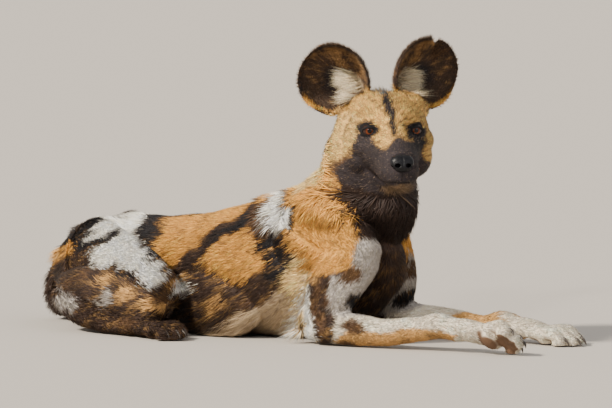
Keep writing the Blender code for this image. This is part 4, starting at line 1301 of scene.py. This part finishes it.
def bladeMesh(name, sections, tips, colour, uv):  # a section holds one station's left, ridge and right points
    count, steps = len(tips), len(sections)
    size = 3 * steps + 1
    points = np.concatenate([np.stack(section, axis=1) for section in sections] + [tips[:, None, :]], axis=1)
    faces = [(0, 2, 1)]
    for k in range(steps - 1):
        low = 3 * k
        for i in range(3):
            j = (i + 1) % 3
            faces += [(low + i, low + j, low + 3 + j), (low + i, low + 3 + j, low + 3 + i)]
    last = 3 * (steps - 1)
    faces += [(last + i, last + (i + 1) % 3, size - 1) for i in range(3)]
    faces = np.array(faces)
    a, b, c = (points[0, faces[:, i]] for i in range(3))
    if np.sum(a * np.cross(b, c)) < 0:
        faces = faces[:, ::-1]
    whole = (faces[None, :, :] + size * np.arange(count)[:, None, None]).reshape(-1)
    mesh = bpy.data.meshes.new(name)
    mesh.vertices.add(count * size)
    mesh.vertices.foreach_set("co", points.reshape(-1))
    mesh.loops.add(len(whole))
    mesh.loops.foreach_set("vertex_index", whole.astype(np.int32))
    mesh.polygons.add(len(whole) // 3)
    mesh.polygons.foreach_set("loop_start", np.arange(0, len(whole), 3, dtype=np.int32))
    mesh.update(calc_edges=True)
    shareAlong = np.array([k // 3 / steps for k in range(size)])
    shareAlong[-1] = 1.0
    # painted shade along each tuft: darker at the root, where the coat shades it, lighter at the tip
    tone = tufts["tones"][0] + tufts["tones"][1] * shareAlong
    value = np.clip(colour[:, None, :] * tone[None, :, None], 0, 0.95)
    value = np.concatenate([value, np.ones((count, size, 1))], axis=2)
    paint = mesh.color_attributes.new("coatColour", "FLOAT_COLOR", "POINT")
    paint.data.foreach_set("color", value.astype(np.float32).ravel())
    shareAcross = [(k % 3 - 1) * 0.5 for k in range(size - 1)] + [0.0]
    corner = np.array([(along - 0.5, across) for along, across in zip(shareAlong, shareAcross)])
    spread = uv[:, None, :] + corner[None, :, :] * tufts["patch"]
    layer = mesh.uv_layers.new(name="OFBake")
    layer.data.foreach_set("uv", spread.reshape(-1, 2)[whole].astype(np.float32).ravel())
    obj = bpy.data.objects.new(name, mesh)
    bpy.context.scene.collection.objects.link(obj)
    return obj


def skinTree():
    mesh = skin.data
    corners = [vertex.co.copy() for vertex in mesh.vertices]
    return BVHTree.FromPolygons(corners, [tuple(face.vertices) for face in mesh.polygons])


tree = skinTree()


def tuftColours(name, at, normals, part, chance):
    count = len(at)
    pixels = chance.normal(0, tufts["carry"], count)[:, None] * lie
    colour = markings(at, normals, part, jitter=pixels * np.choose(part, tufts["carried"])[:, None])
    if name == "coat_head":
        dark, many, tone = tufts["hoar"]
        hoary = (colour.mean(axis=1) < dark) & (chance.random(count) < many)
        colour[hoary] = colours["hoar"] * tone
    if name == "coat_eartufts":
        blend(colour, colours["earTuft"], chance.random(count) ** 0.5)
    colour = colour * np.exp(chance.normal(0, coats[name]["tone"], count))[:, None]
    colour[:, 2] *= chance.uniform(*tufts["blues"], count)
    return colour


def layTufts(at, normals, flow, length, lift, half, scale, look):  # sections and tips, one tuft after another
    sections = []
    steps = look["steps"]
    foot, upward = at - normals * tufts["sunk"], normals
    for k in range(steps):
        across = unit(np.cross(upward, flow))
        taper = 1.0 if k == 0 else tufts["taper"]
        wide = (half * taper)[:, None]
        sections.append((foot - across * wide, foot + upward * (look["thick"] * taper), foot + across * wide))
        if steps == 1:
            return sections, at + flow * length[:, None] + normals * lift[:, None]
        ahead = at + flow * (length / steps)[:, None]
        at, facing = keepNear(ahead, *nearestSkin(ahead), upward)
        upward = unit(upward * 0.4 + facing * 0.6)
        flow = unit(flow - upward * np.sum(flow * upward, axis=1, keepdims=True))
        foot = at + facing * (lift * (k + 1) / steps)[:, None]
        foot[:, 2] = np.maximum(foot[:, 2], tufts["clear"][0] + tufts["clear"][1] * scale)
    return sections, foot


def growCoat(name, weightOf, lengthOf=None, liftOf=None, flowOf=None):
    look = coats[name]
    chance = np.random.default_rng(look["seed"])
    count = look["count"]
    at, normals, uv = skinSamples(count, chance, weightOf)
    part, travel = whereOn(at)
    flow = flowOf(at) if flowOf else lieOf(at, normals, part, travel)
    across = np.cross(normals, flow)
    sway, size = tufts["sway"]
    turn = chance.normal(0, look["turn"], count) + sway * waves(at, size, look["seed"] + 60)
    flow = unit(flow * np.cos(turn)[:, None] + across * np.sin(turn)[:, None])
    scale = chance.uniform(*tufts["lengths"], count)
    length = look["length"] * scale * (lengthOf(at, normals) if lengthOf else 1.0)
    lift = look["lift"] * chance.uniform(*tufts["lifts"], count) * (liftOf(at) if liftOf else 1.0)
    half = look["half"] * chance.uniform(*tufts["halves"], count)
    colour = tuftColours(name, at, normals, part, chance)
    sections, tips = layTufts(at, normals, flow, length, lift, half, scale, look)
    for points in (*[corner for section in sections for corner in section], tips):
        points[:, 2] = np.maximum(points[:, 2], tufts["floor"])
    obj = bladeMesh(name, sections, tips, colour, uv)
    print(name, "grown,", count, "tufts")
    return obj


def nearestSkin(points):
    found, facing = np.empty_like(points), np.empty_like(points)
    for i, point in enumerate(points):
        near, normal, _, _ = tree.find_nearest(point)
        found[i], facing[i] = near, normal
    return found, facing


def keepNear(ahead, found, facing, upward):  # where the nearest skin is another limb, hair goes straight on
    wrong = np.sum(facing * upward, axis=1) < 0.1
    found, facing = found.copy(), facing.copy()
    found[wrong], facing[wrong] = ahead[wrong], upward[wrong]
    return found, facing


bare = {
    "eye": 0.0032,  # past the eyeball
    "nose": ((0.108, 0, -0.043), (0.014, 0.021, 0.0155)),  # centre and half sizes in the head
    "floor": 0.0022,
}


def keepOff(points):  # 0 on the eyes, nose leather and close to the floor, 1 elsewhere
    share = np.ones(len(points))
    for side in sides.values():
        away = np.linalg.norm(points - np.array(eyeMatrix(side).translation), axis=1)
        share *= away > eyes["radius"] + bare["eye"]
    centre, size = bare["nose"]
    share *= np.linalg.norm((toHead(points) - np.array(centre)) / size, axis=1) > 1
    return share * (points[:, 2] > bare["floor"])


def offPads(points, normals):
    share = np.ones(len(points))
    for name in paws:
        _, turned, near = toPaw(points, normals, name)
        share *= ~(near & (turned[:, 2] < -pads["bare"]))
    return share


skinPart = {}  # part and bareness of every triangle, worked out once


def weightFor(parts, extra=None):
    def weightOf(points, normals):
        if not skinPart:
            skinPart["part"] = whereOn(points)[0]
            skinPart["furred"] = keepOff(points) * offPads(points, normals)
        share = np.isin(skinPart["part"], parts) * skinPart["furred"]
        return share * extra(points, normals) if extra else share

    return weightOf


def onEar(points, _):
    return earShare(points) > ears["furred"]


def offEar(points, _):  # closer together on the face
    return (earShare(points) <= ears["furred"]) * (1.0 + 1.5 * ramp(toHead(points)[:, 0], -0.05, 0.0))


def neckEdge(points, _):  # the neck's hair fades in over the back of the head, and none grows on the ears
    onNeck = (earShare(points) < 0.1) * ramp(-headShare(points), -0.97, -0.55)
    return onNeck * (toHead(points)[:, 2] < 0.02)


def inEarTuft(points, normals):
    share = np.zeros(len(points))
    furred = earShare(points) > ears["furred"]
    for name in sides:
        local = toEar(points, name)
        near = nearEar(local) & furred & (turnToEar(normals, name)[:, 0] > 0.1)
        share = np.maximum(share, earTuftShare(*discPlace(local)) * near)
    return share**2 * (0.12 + 0.88 * ramp(waves(points, 0.0060, 53), -0.25, 0.45))


def earTuftFlow(points):  # out over the cup and a little up
    flow = np.zeros((len(points), 3))
    for name, side in sides.items():
        local = toEar(points, name)
        mine = np.abs(local[:, 1]) < 1.5 * ears["radius"]
        mine &= np.sign(toHead(points)[:, 1]) == side
        x, y, z = 0.15, 0.85, 0.35 + 9.0 * (local[:, 2] - 0.030)
        fan = np.stack([x + 0 * z, y + 0 * z, z], axis=1)
        flow[mine] = (unit(fan) @ np.array(earMatrix(name).to_3x3()).T)[mine]
    return unit(flow)


def nearRim(points):
    near = np.zeros(len(points))
    for name in sides:
        away = fromEar(toEar(points, name))
        near = np.maximum(near, ramp(away, 0.75, 0.95) * (away < ears["near"]))
    return near


def earLength(points, _):
    return 1.0 - 0.25 * nearRim(points)


def rimLift(points):
    return 1.0 + 1.6 * nearRim(points)


crown = {"at": -0.075, "along": 0.022, "across": 0.024, "height": (0.03, 0.05), "lift": 8.0}


def crownLift(points):  # a low crest between the ears
    x, y, z = toHead(points).T
    share = np.exp(-(((x - crown["at"]) / crown["along"]) ** 2) - (y / crown["across"]) ** 2)
    return 1.0 + crown["lift"] * share * ramp(z, *crown["height"])


def headLength(points, _):
    x, y, z = toHead(points).T
    muzzle = ramp(x, -0.01, 0.05)
    cheek = ramp(-x, 0.03, 0.08) * ramp(-z, 0.0, 0.05)
    back = ramp(-x, 0.055, 0.095)
    return (1.0 - 0.58 * muzzle + 1.0 * cheek + 1.1 * back) * (0.88 + 0.12 * crownLift(points))


waist = 0.09  # height at which the back's coat meets the flank's


def upperSide(points, _):
    return points[:, 2] > waist


def lowerSide(points, normals):
    return (points[:, 2] <= waist) & (normals[:, 2] > -0.97)


def bellyLength(points, _):
    low = ramp(-points[:, 2], -0.07, -0.02) * ramp(points[:, 0], -0.16, -0.04)
    return 1.0 + 1.7 * low


def neckLength(_, normals):  # longer in front
    front = ramp(normals @ np.array((0.84, -0.54, 0.0)), 0.1, 0.7)
    return 0.75 + 0.75 * front


def tailLength(points, _):  # longer towards the tip
    return 0.55 + 0.55 * ramp(points[:, 1], 0.0, 0.10) + 0.25 * ramp(points[:, 1], 0.10, 0.18)


upperParts = [torsoPart, neckPart, headPart]
coatPieces = [
    growCoat("coat_head", weightFor([headPart], offEar), headLength, crownLift),
    growCoat("coat_ears", weightFor(upperParts, onEar), earLength, rimLift),
    growCoat("coat_eartufts", weightFor(upperParts, inEarTuft), flowOf=earTuftFlow),
    growCoat("coat_back", weightFor([torsoPart], upperSide)),
    growCoat("coat_flank", weightFor([torsoPart], lowerSide), bellyLength),
    growCoat("coat_hindlegs", weightFor([hindlegPart])),
    growCoat("coat_forelegs", weightFor([forelegPart])),
    growCoat("coat_neck", weightFor([neckPart, headPart], neckEdge), neckLength),
    growCoat("coat_tail", weightFor([tailPart]), tailLength),
]


# Skin colours, a little darker than the coat above them: painted shade in the gaps between the tufts

# all is painted shade: the skin darkened under the coat
skinTones = {"all": 0.80, "lips": (0.5, 0.0022, (0.006, 0.018)), "lids": (0.6, (0.0065, 0.0030))}


def paintSkin():
    mesh = skin.data
    points, normals = readPoints(mesh), readNormals(mesh)
    part = whereOn(points)[0]
    # painted shade: the markings are darkened on the skin so the gaps in the coat read as shaded
    colour = markings(points, normals, part) * skinTones["all"]
    local = toHead(points)
    tone, width, reach = skinTones["lips"]
    lips = bell(mouthLine(local), width) * ramp(local[:, 0], *reach) * (part == headPart)
    blend(colour, colours["black"] * tone, lips)
    tone, reach = skinTones["lids"]
    for side in sides.values():
        away = np.linalg.norm(points - np.array(eyeMatrix(side).translation), axis=1)
        blend(colour, colours["black"] * tone, ramp(-away, *(-(eyes["radius"] + past) for past in reach)))
    value = np.concatenate([colour, np.ones((len(colour), 1))], axis=1)
    paint = mesh.color_attributes.new("coatColour", "FLOAT_COLOR", "POINT")
    paint.data.foreach_set("color", value.astype(np.float32).ravel())


paintSkin()


# Eyeballs: rings about the line of sight, so that pupil and iris have clean edges

eyeLook = {
    "pupil": linear(6, 5, 6),
    "iris": linear(112, 50, 14),
    "white": linear(44, 28, 22),
    "shade": (0.30, 0.70),  # painted shade of the brow on the iris: its tone at the top, and more at its bottom
    "bulge": 0.055,
    "sectors": 64,
    "turned": 0.75,  # share of the lids' turn outwards
}


def irisColour(share, sector):  # share goes from 0 at the pupil to 1 at the edge
    ray = 0.5 + 0.5 * math.sin(sector * 2.9) * math.sin(sector * 1.3)
    above, below = eyeLook["shade"]
    # painted shade: the upper half of the iris darker, as under the brow
    shade = above + below * (0.5 - 0.5 * math.sin(math.tau * sector / eyeLook["sectors"]))
    return eyeLook["iris"] * (0.65 + 0.5 * ray) * (1.2 - 1.0 * share**3) * shade


def eyeball(name, side):
    bm = bmesh.new()
    sectors = eyeLook["sectors"]
    radius = eyes["radius"]
    pupil = math.asin(eyes["pupil"] / radius)
    iris = math.asin(eyes["iris"] / radius)
    turns = [*np.linspace(0.02, pupil, 5), pupil + 0.02, *np.linspace(pupil + 0.08, iris - 0.05, 10), iris]
    turns += [iris + 0.04, *np.linspace(iris + 0.12, math.pi - 0.02, 22)]
    loops = []
    for turn in turns:
        bulge = 1 + eyeLook["bulge"] * math.exp(-((turn / (iris * 0.85)) ** 4))
        at = Vector((math.cos(turn) * radius * bulge, 0, 0))
        reach = math.sin(turn) * radius * bulge
        loops.append(addRing(bm, at, Vector((0, 1, 0)), Vector((0, 0, 1)), reach, reach, reach, sectors))
    bridge(bm, loops)
    inward = -side * math.radians(eyes["outward"] * eyeLook["turned"])
    bm.transform(eyeMatrix(side) @ Matrix.Rotation(inward, 4, "Z"))
    obj = meshObject(name, bm)
    paint = obj.data.color_attributes.new("eyeColour", "FLOAT_COLOR", "POINT")
    value = np.ones((len(obj.data.vertices), 4), np.float32)
    for i, turn in enumerate(turns):
        for k in range(sectors):
            if turn <= pupil:
                tone = eyeLook["pupil"]
            elif turn < iris:
                tone = irisColour((turn - pupil) / (iris - pupil), k)
            else:
                tone = eyeLook["white"]
            value[i * sectors + k, :3] = tone
    paint.data.foreach_set("color", value.ravel())
    obj.data.shade_smooth()
    return obj


eyeballs = [eyeball("eyeball_" + name, side) for name, side in sides.items()]


# Nose leather

nose = {
    "centre": (0.1040, 0, -0.0425),
    "size": (0.0126, 0.0192, 0.0140),
    "segments": (96, 64),
    "square": 2.6,  # power of the rounded box: 2 is an oval
    "narrow": 0.30,  # how much slimmer it is at the bottom
    "tilt": 0.0035,
    "groove": (0.0011, 0.06),  # depth, and half width as a share of the nose's
    "nostrils": (  # place, half sizes and turn: the hole and the slit beside it
        ((0.1180, 0.0086, -0.0452), (0.0076, 0.0048, 0.0036), (0, 0, 0)),
        ((0.1120, 0.0150, -0.0480), (0.0095, 0.0064, 0.0022), (20, 0, 40)),
    ),
}


def buildNose():
    bm = bmesh.new()
    around, along = nose["segments"]
    bmesh.ops.create_uvsphere(bm, u_segments=around, v_segments=along, radius=1)
    square = nose["square"]
    for vert in bm.verts:
        x, y, z = vert.co
        length = (abs(x) ** square + abs(y) ** square + abs(z) ** square) ** (1 / square)
        x, y, z = x / length, y / length, z / length
        narrow = 1.0 - nose["narrow"] * max(0.0, -z) ** 1.5
        groove = nose["groove"][0] * math.exp(-((y / nose["groove"][1]) ** 2)) * max(0.0, x)
        vert.co = (
            nose["centre"][0] + x * nose["size"][0] - nose["tilt"] * (z - 1) - groove,
            y * nose["size"][1] * narrow,
            nose["centre"][2] + z * nose["size"][2],
        )
    leather = meshObject("nose_leather", bm)
    for side in sides.values():
        for (x, y, z), radii, (roll, pitch, yaw) in nose["nostrils"]:
            bm = bmesh.new()
            addOval(bm, (x, side * y, z), radii, (side * roll, pitch, side * yaw), detail=4)
            boolean(leather, "DIFFERENCE", meshObject("nostril", bm))
    leather.data.transform(headMatrix)
    leather.data.shade_smooth()
    return leather


leather = buildNose()


# Claws

claw = {
    "length": 0.0175,
    "radius": 0.0033,
    "sunk": 0.0055,
    "sides": 14,
    "stations": 10,
    "ahead": 0.0075,  # of the toe's tip
    "above": 0.0010,
    "taper": 0.85,
    "droop": (18, 34),  # degrees at the root, and more at the tip
    "oval": (0.75, 1.0, 0.85),  # half width, and reach above and below
    "floor": 0.0006,
}


def addClaw(bm, pawName, place, forward):
    reach, spread = paws[pawName][2:]
    tip = toeBase + reach * forward
    one = bmesh.new()
    loops = []
    for step in range(claw["stations"]):
        t = step / (claw["stations"] - 1)
        radius = claw["radius"] * (1 - claw["taper"] * t**1.4)
        travel = t * claw["length"] - claw["sunk"]
        droop = math.radians(claw["droop"][0] + claw["droop"][1] * t)
        x = tip + claw["ahead"] + travel * math.cos(droop)
        at = Vector((x, place * spread * toeSplay, claw["above"] - travel * math.sin(droop)))
        upward = Vector((math.sin(droop), 0, math.cos(droop)))
        ovals = (radius * share for share in claw["oval"])
        loops.append(addRing(one, at, Vector((0, 1, 0)), upward, *ovals, claw["sides"]))
    bridge(one, loops)
    bmesh.ops.recalc_face_normals(one, faces=one.faces)
    addMoved(bm, one, pawMatrix(pawName))


def buildClaws(pawName):
    bm = bmesh.new()
    for place, forward in toes:
        addClaw(bm, pawName, place, forward)
    obj = meshObject("claws_" + pawName, bm)
    points = readPoints(obj.data)
    points[:, 2] = np.maximum(points[:, 2], claw["floor"])
    writePoints(obj.data, points)
    obj.data.shade_smooth()
    return obj


clawPieces = {name: buildClaws(name) for name in paws}
print("eyes, nose and claws built")


# Materials

def newMaterial(name):
    material = bpy.data.materials.new(name)
    material.use_nodes = True
    tree = material.node_tree
    return material, tree.nodes, tree.links, tree.nodes["Principled BSDF"]


grainLook = {"detail": 4.0, "from": (0.3, 0.7), "tones": (0.55, 1.25)}


def addRange(nodes, ends, keys=("To Min", "To Max")):
    node = nodes.new("ShaderNodeMapRange")
    for key, value in zip(keys, ends):
        node.inputs[key].default_value = value
    return node


def grainGroup():  # fine variation of tone and height, shared by every finish
    group = bpy.data.node_groups.new("surfaceGrain", "ShaderNodeTree")
    for name, way, kind in (
        ("Colour", "INPUT", "Color"),
        ("Scale", "INPUT", "Float"),
        ("Amount", "INPUT", "Float"),
        ("Colour", "OUTPUT", "Color"),
        ("Height", "OUTPUT", "Float"),
    ):
        group.interface.new_socket(name, in_out=way, socket_type="NodeSocket" + kind)
    start, end, place, texture, scale = (
        group.nodes.new(kind)
        for kind in (
            "NodeGroupInput", "NodeGroupOutput", "ShaderNodeTexCoord", "ShaderNodeTexNoise", "ShaderNodeMix",
        )
    )
    texture.inputs["Detail"].default_value = grainLook["detail"]
    spread = addRange(group.nodes, grainLook["from"], ("From Min", "From Max"))
    dark = addRange(group.nodes, grainLook["tones"])
    scale.data_type = "RGBA"
    scale.blend_type = "MULTIPLY"
    for source, target in (
        (place.outputs["Object"], texture.inputs["Vector"]),
        (start.outputs["Scale"], texture.inputs["Scale"]),
        (texture.outputs["Fac"], spread.inputs["Value"]),
        (spread.outputs["Result"], dark.inputs["Value"]),
        (start.outputs["Amount"], scale.inputs[0]),
        (start.outputs["Colour"], scale.inputs[6]),
        (dark.outputs["Result"], scale.inputs[7]),
        (scale.outputs[2], end.inputs["Colour"]),
        (texture.outputs["Fac"], end.inputs["Height"]),
    ):
        group.links.new(source, target)
    return group


grain = grainGroup()


def finish(name, source, look):  # source is an attribute's name or a colour
    material, nodes, links, shader = newMaterial(name)
    group = nodes.new("ShaderNodeGroup")
    group.node_tree = grain
    group.inputs["Scale"].default_value = look["scale"]
    group.inputs["Amount"].default_value = look["amount"]
    if isinstance(source, str):
        attribute = nodes.new("ShaderNodeAttribute")
        attribute.attribute_name = source
        links.new(attribute.outputs["Color"], group.inputs["Colour"])
    else:
        group.inputs["Colour"].default_value = (*source, 1)
    links.new(group.outputs["Colour"], shader.inputs["Base Color"])
    bump = nodes.new("ShaderNodeBump")
    bump.inputs["Strength"].default_value = look["bump"]
    bump.inputs["Distance"].default_value = look["height"]
    links.new(group.outputs["Height"], bump.inputs["Height"])
    links.new(bump.outputs["Normal"], shader.inputs["Normal"])
    rough = addRange(nodes, look["rough"])
    links.new(group.outputs["Height"], rough.inputs["Value"])
    links.new(rough.outputs["Result"], shader.inputs["Roughness"])
    shader.inputs["Specular IOR Level"].default_value = look["shine"]
    if "coat" in look:
        shader.inputs["Coat Weight"].default_value = look["coat"]
        shader.inputs["Coat Roughness"].default_value = look["coatRough"]
    return material


finishes = {
    "skin": finish("skinFur", "coatColour", {
        "scale": 900, "amount": 0.6, "bump": 0.6, "height": 0.0008, "rough": (0.75, 0.95), "shine": 0.2,
    }),
    "coat": finish("coatFur", "coatColour", {
        "scale": 700, "amount": 0.35, "bump": 0.2, "height": 0.0003, "rough": (0.50, 0.75), "shine": 0.30,
    }),
    "eye": finish("eyeGloss", "eyeColour", {
        "scale": 1500, "amount": 0.25, "bump": 0.02, "height": 0.0001, "rough": (0.12, 0.22), "shine": 0.05,
        "coat": 0.5, "coatRough": 0.03,
    }),
    "nose": finish("noseLeather", tuple(linear(14, 14, 18)), {
        "scale": 700, "amount": 0.6, "bump": 0.75, "height": 0.0007, "rough": (0.24, 0.42), "shine": 0.22,
    }),
    "claw": finish("clawHorn", tuple(linear(62, 54, 48)), {
        "scale": 350, "amount": 0.8, "bump": 0.3, "height": 0.0003, "rough": (0.32, 0.55), "shine": 0.45,
    }),
}

fleshNodes = ["head", "jaw", "ear_right", "ear_left", "neck", "torso", "tail_base", "tail_middle", "tail_tip"]
limbNodes = ("upper_arm_", "forearm_", "forepaw_", "thigh_", "shank_", "hind_foot_")
fleshNodes += [limb + side for side in sides for limb in limbNodes]


def dress(obj, finishName):
    obj.data.materials.clear()
    obj.data.materials.append(finishes[finishName])
    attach(obj, "root")


dress(skin, "skin")
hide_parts(*fleshNodes)
for piece in coatPieces:
    dress(piece, "coat")
for piece, name in zip(eyeballs, sides):
    dress(piece, "eye")
    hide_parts("eye_" + name)
dress(leather, "nose")
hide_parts("nose")
pawNodes = {
    "forepawRight": "forepaw_right",
    "forepawLeft": "forepaw_left",
    "hindFootRight": "hind_foot_right",
    "hindFootLeft": "hind_foot_left",
}
for pawName, piece in clawPieces.items():
    dress(piece, "claw")
    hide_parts(*[f"claw_{pawNodes[pawName]}_{number}" for number in range(1, 5)])
print("pieces dressed")


# Floor, lights and camera

studio = {
    "floor": linear(182, 176, 168),
    "sky": (0.90, 0.88, 0.86),
    "skyStrength": 0.72,
    "floorHeight": -0.0015,
    "floorReach": 90,
    "floorRough": 0.9,
    "lampsAway": 3,
    "key": {"from": (-0.55, -1.0, 0.95), "angle": 7, "power": 6.6, "colour": (1.0, 0.91, 0.78)},
    "fill": {"from": (1.0, -0.25, 0.5), "angle": 40, "power": 0.5, "colour": (0.95, 0.96, 1.0)},
    "catch": {"from": (0.25, -0.90, 0.46), "angle": 5, "power": 0.9, "colour": (1.0, 0.97, 0.92)},
}
camera = {
    "target": (0.009, 0.028, 0.2135),
    "back": (0.5426, -0.8355, 0.0872),  # from the dog to the camera
    "away": 30.0,
    "lens": 1076.47,
    "sensor": 36,
    "clipEnd": 200,
}


def buildStage():
    bm = bmesh.new()
    reach = studio["floorReach"]
    for x, y in ((-reach, -reach), (reach, -reach), (reach, reach), (-reach, reach)):
        bm.verts.new((x, y, studio["floorHeight"]))
    bm.faces.new(bm.verts)
    floor = meshObject("floor", bm)
    if floor.data.polygons[0].normal.z < 0:
        floor.data.flip_normals()
    material, *_, shader = newMaterial("paleFloor")
    shader.inputs["Base Color"].default_value = (*studio["floor"], 1)
    shader.inputs["Roughness"].default_value = studio["floorRough"]
    floor.data.materials.append(material)
    world = bpy.data.worlds.new("studio")
    world.use_nodes = True
    background = world.node_tree.nodes["Background"]
    background.inputs["Color"].default_value = (*studio["sky"], 1)
    background.inputs["Strength"].default_value = studio["skyStrength"]
    bpy.context.scene.world = world


def addLamp(name):
    look = studio[name]
    data = bpy.data.lights.new(name, "SUN")
    data.angle = math.radians(look["angle"])
    data.energy = look["power"]
    data.color = look["colour"]
    lamp = bpy.data.objects.new(name, data)
    lamp.location = Vector(look["from"]) * studio["lampsAway"]
    lamp.rotation_euler = (-Vector(look["from"])).to_track_quat("-Z", "Y").to_euler()
    bpy.context.scene.collection.objects.link(lamp)


def addCamera():
    data = bpy.data.cameras.new("camera")
    data.lens = camera["lens"]
    data.sensor_width = camera["sensor"]
    data.clip_end = camera["clipEnd"]
    eye = bpy.data.objects.new("camera", data)
    back = Vector(camera["back"]).normalized()
    eye.location = Vector(camera["target"]) + back * camera["away"]
    eye.rotation_euler = (-back).to_track_quat("-Z", "Y").to_euler()
    bpy.context.scene.collection.objects.link(eye)
    bpy.context.scene.camera = eye


buildStage()
for lampName in ("key", "fill", "catch"):
    addLamp(lampName)
addCamera()

print("scene ready")
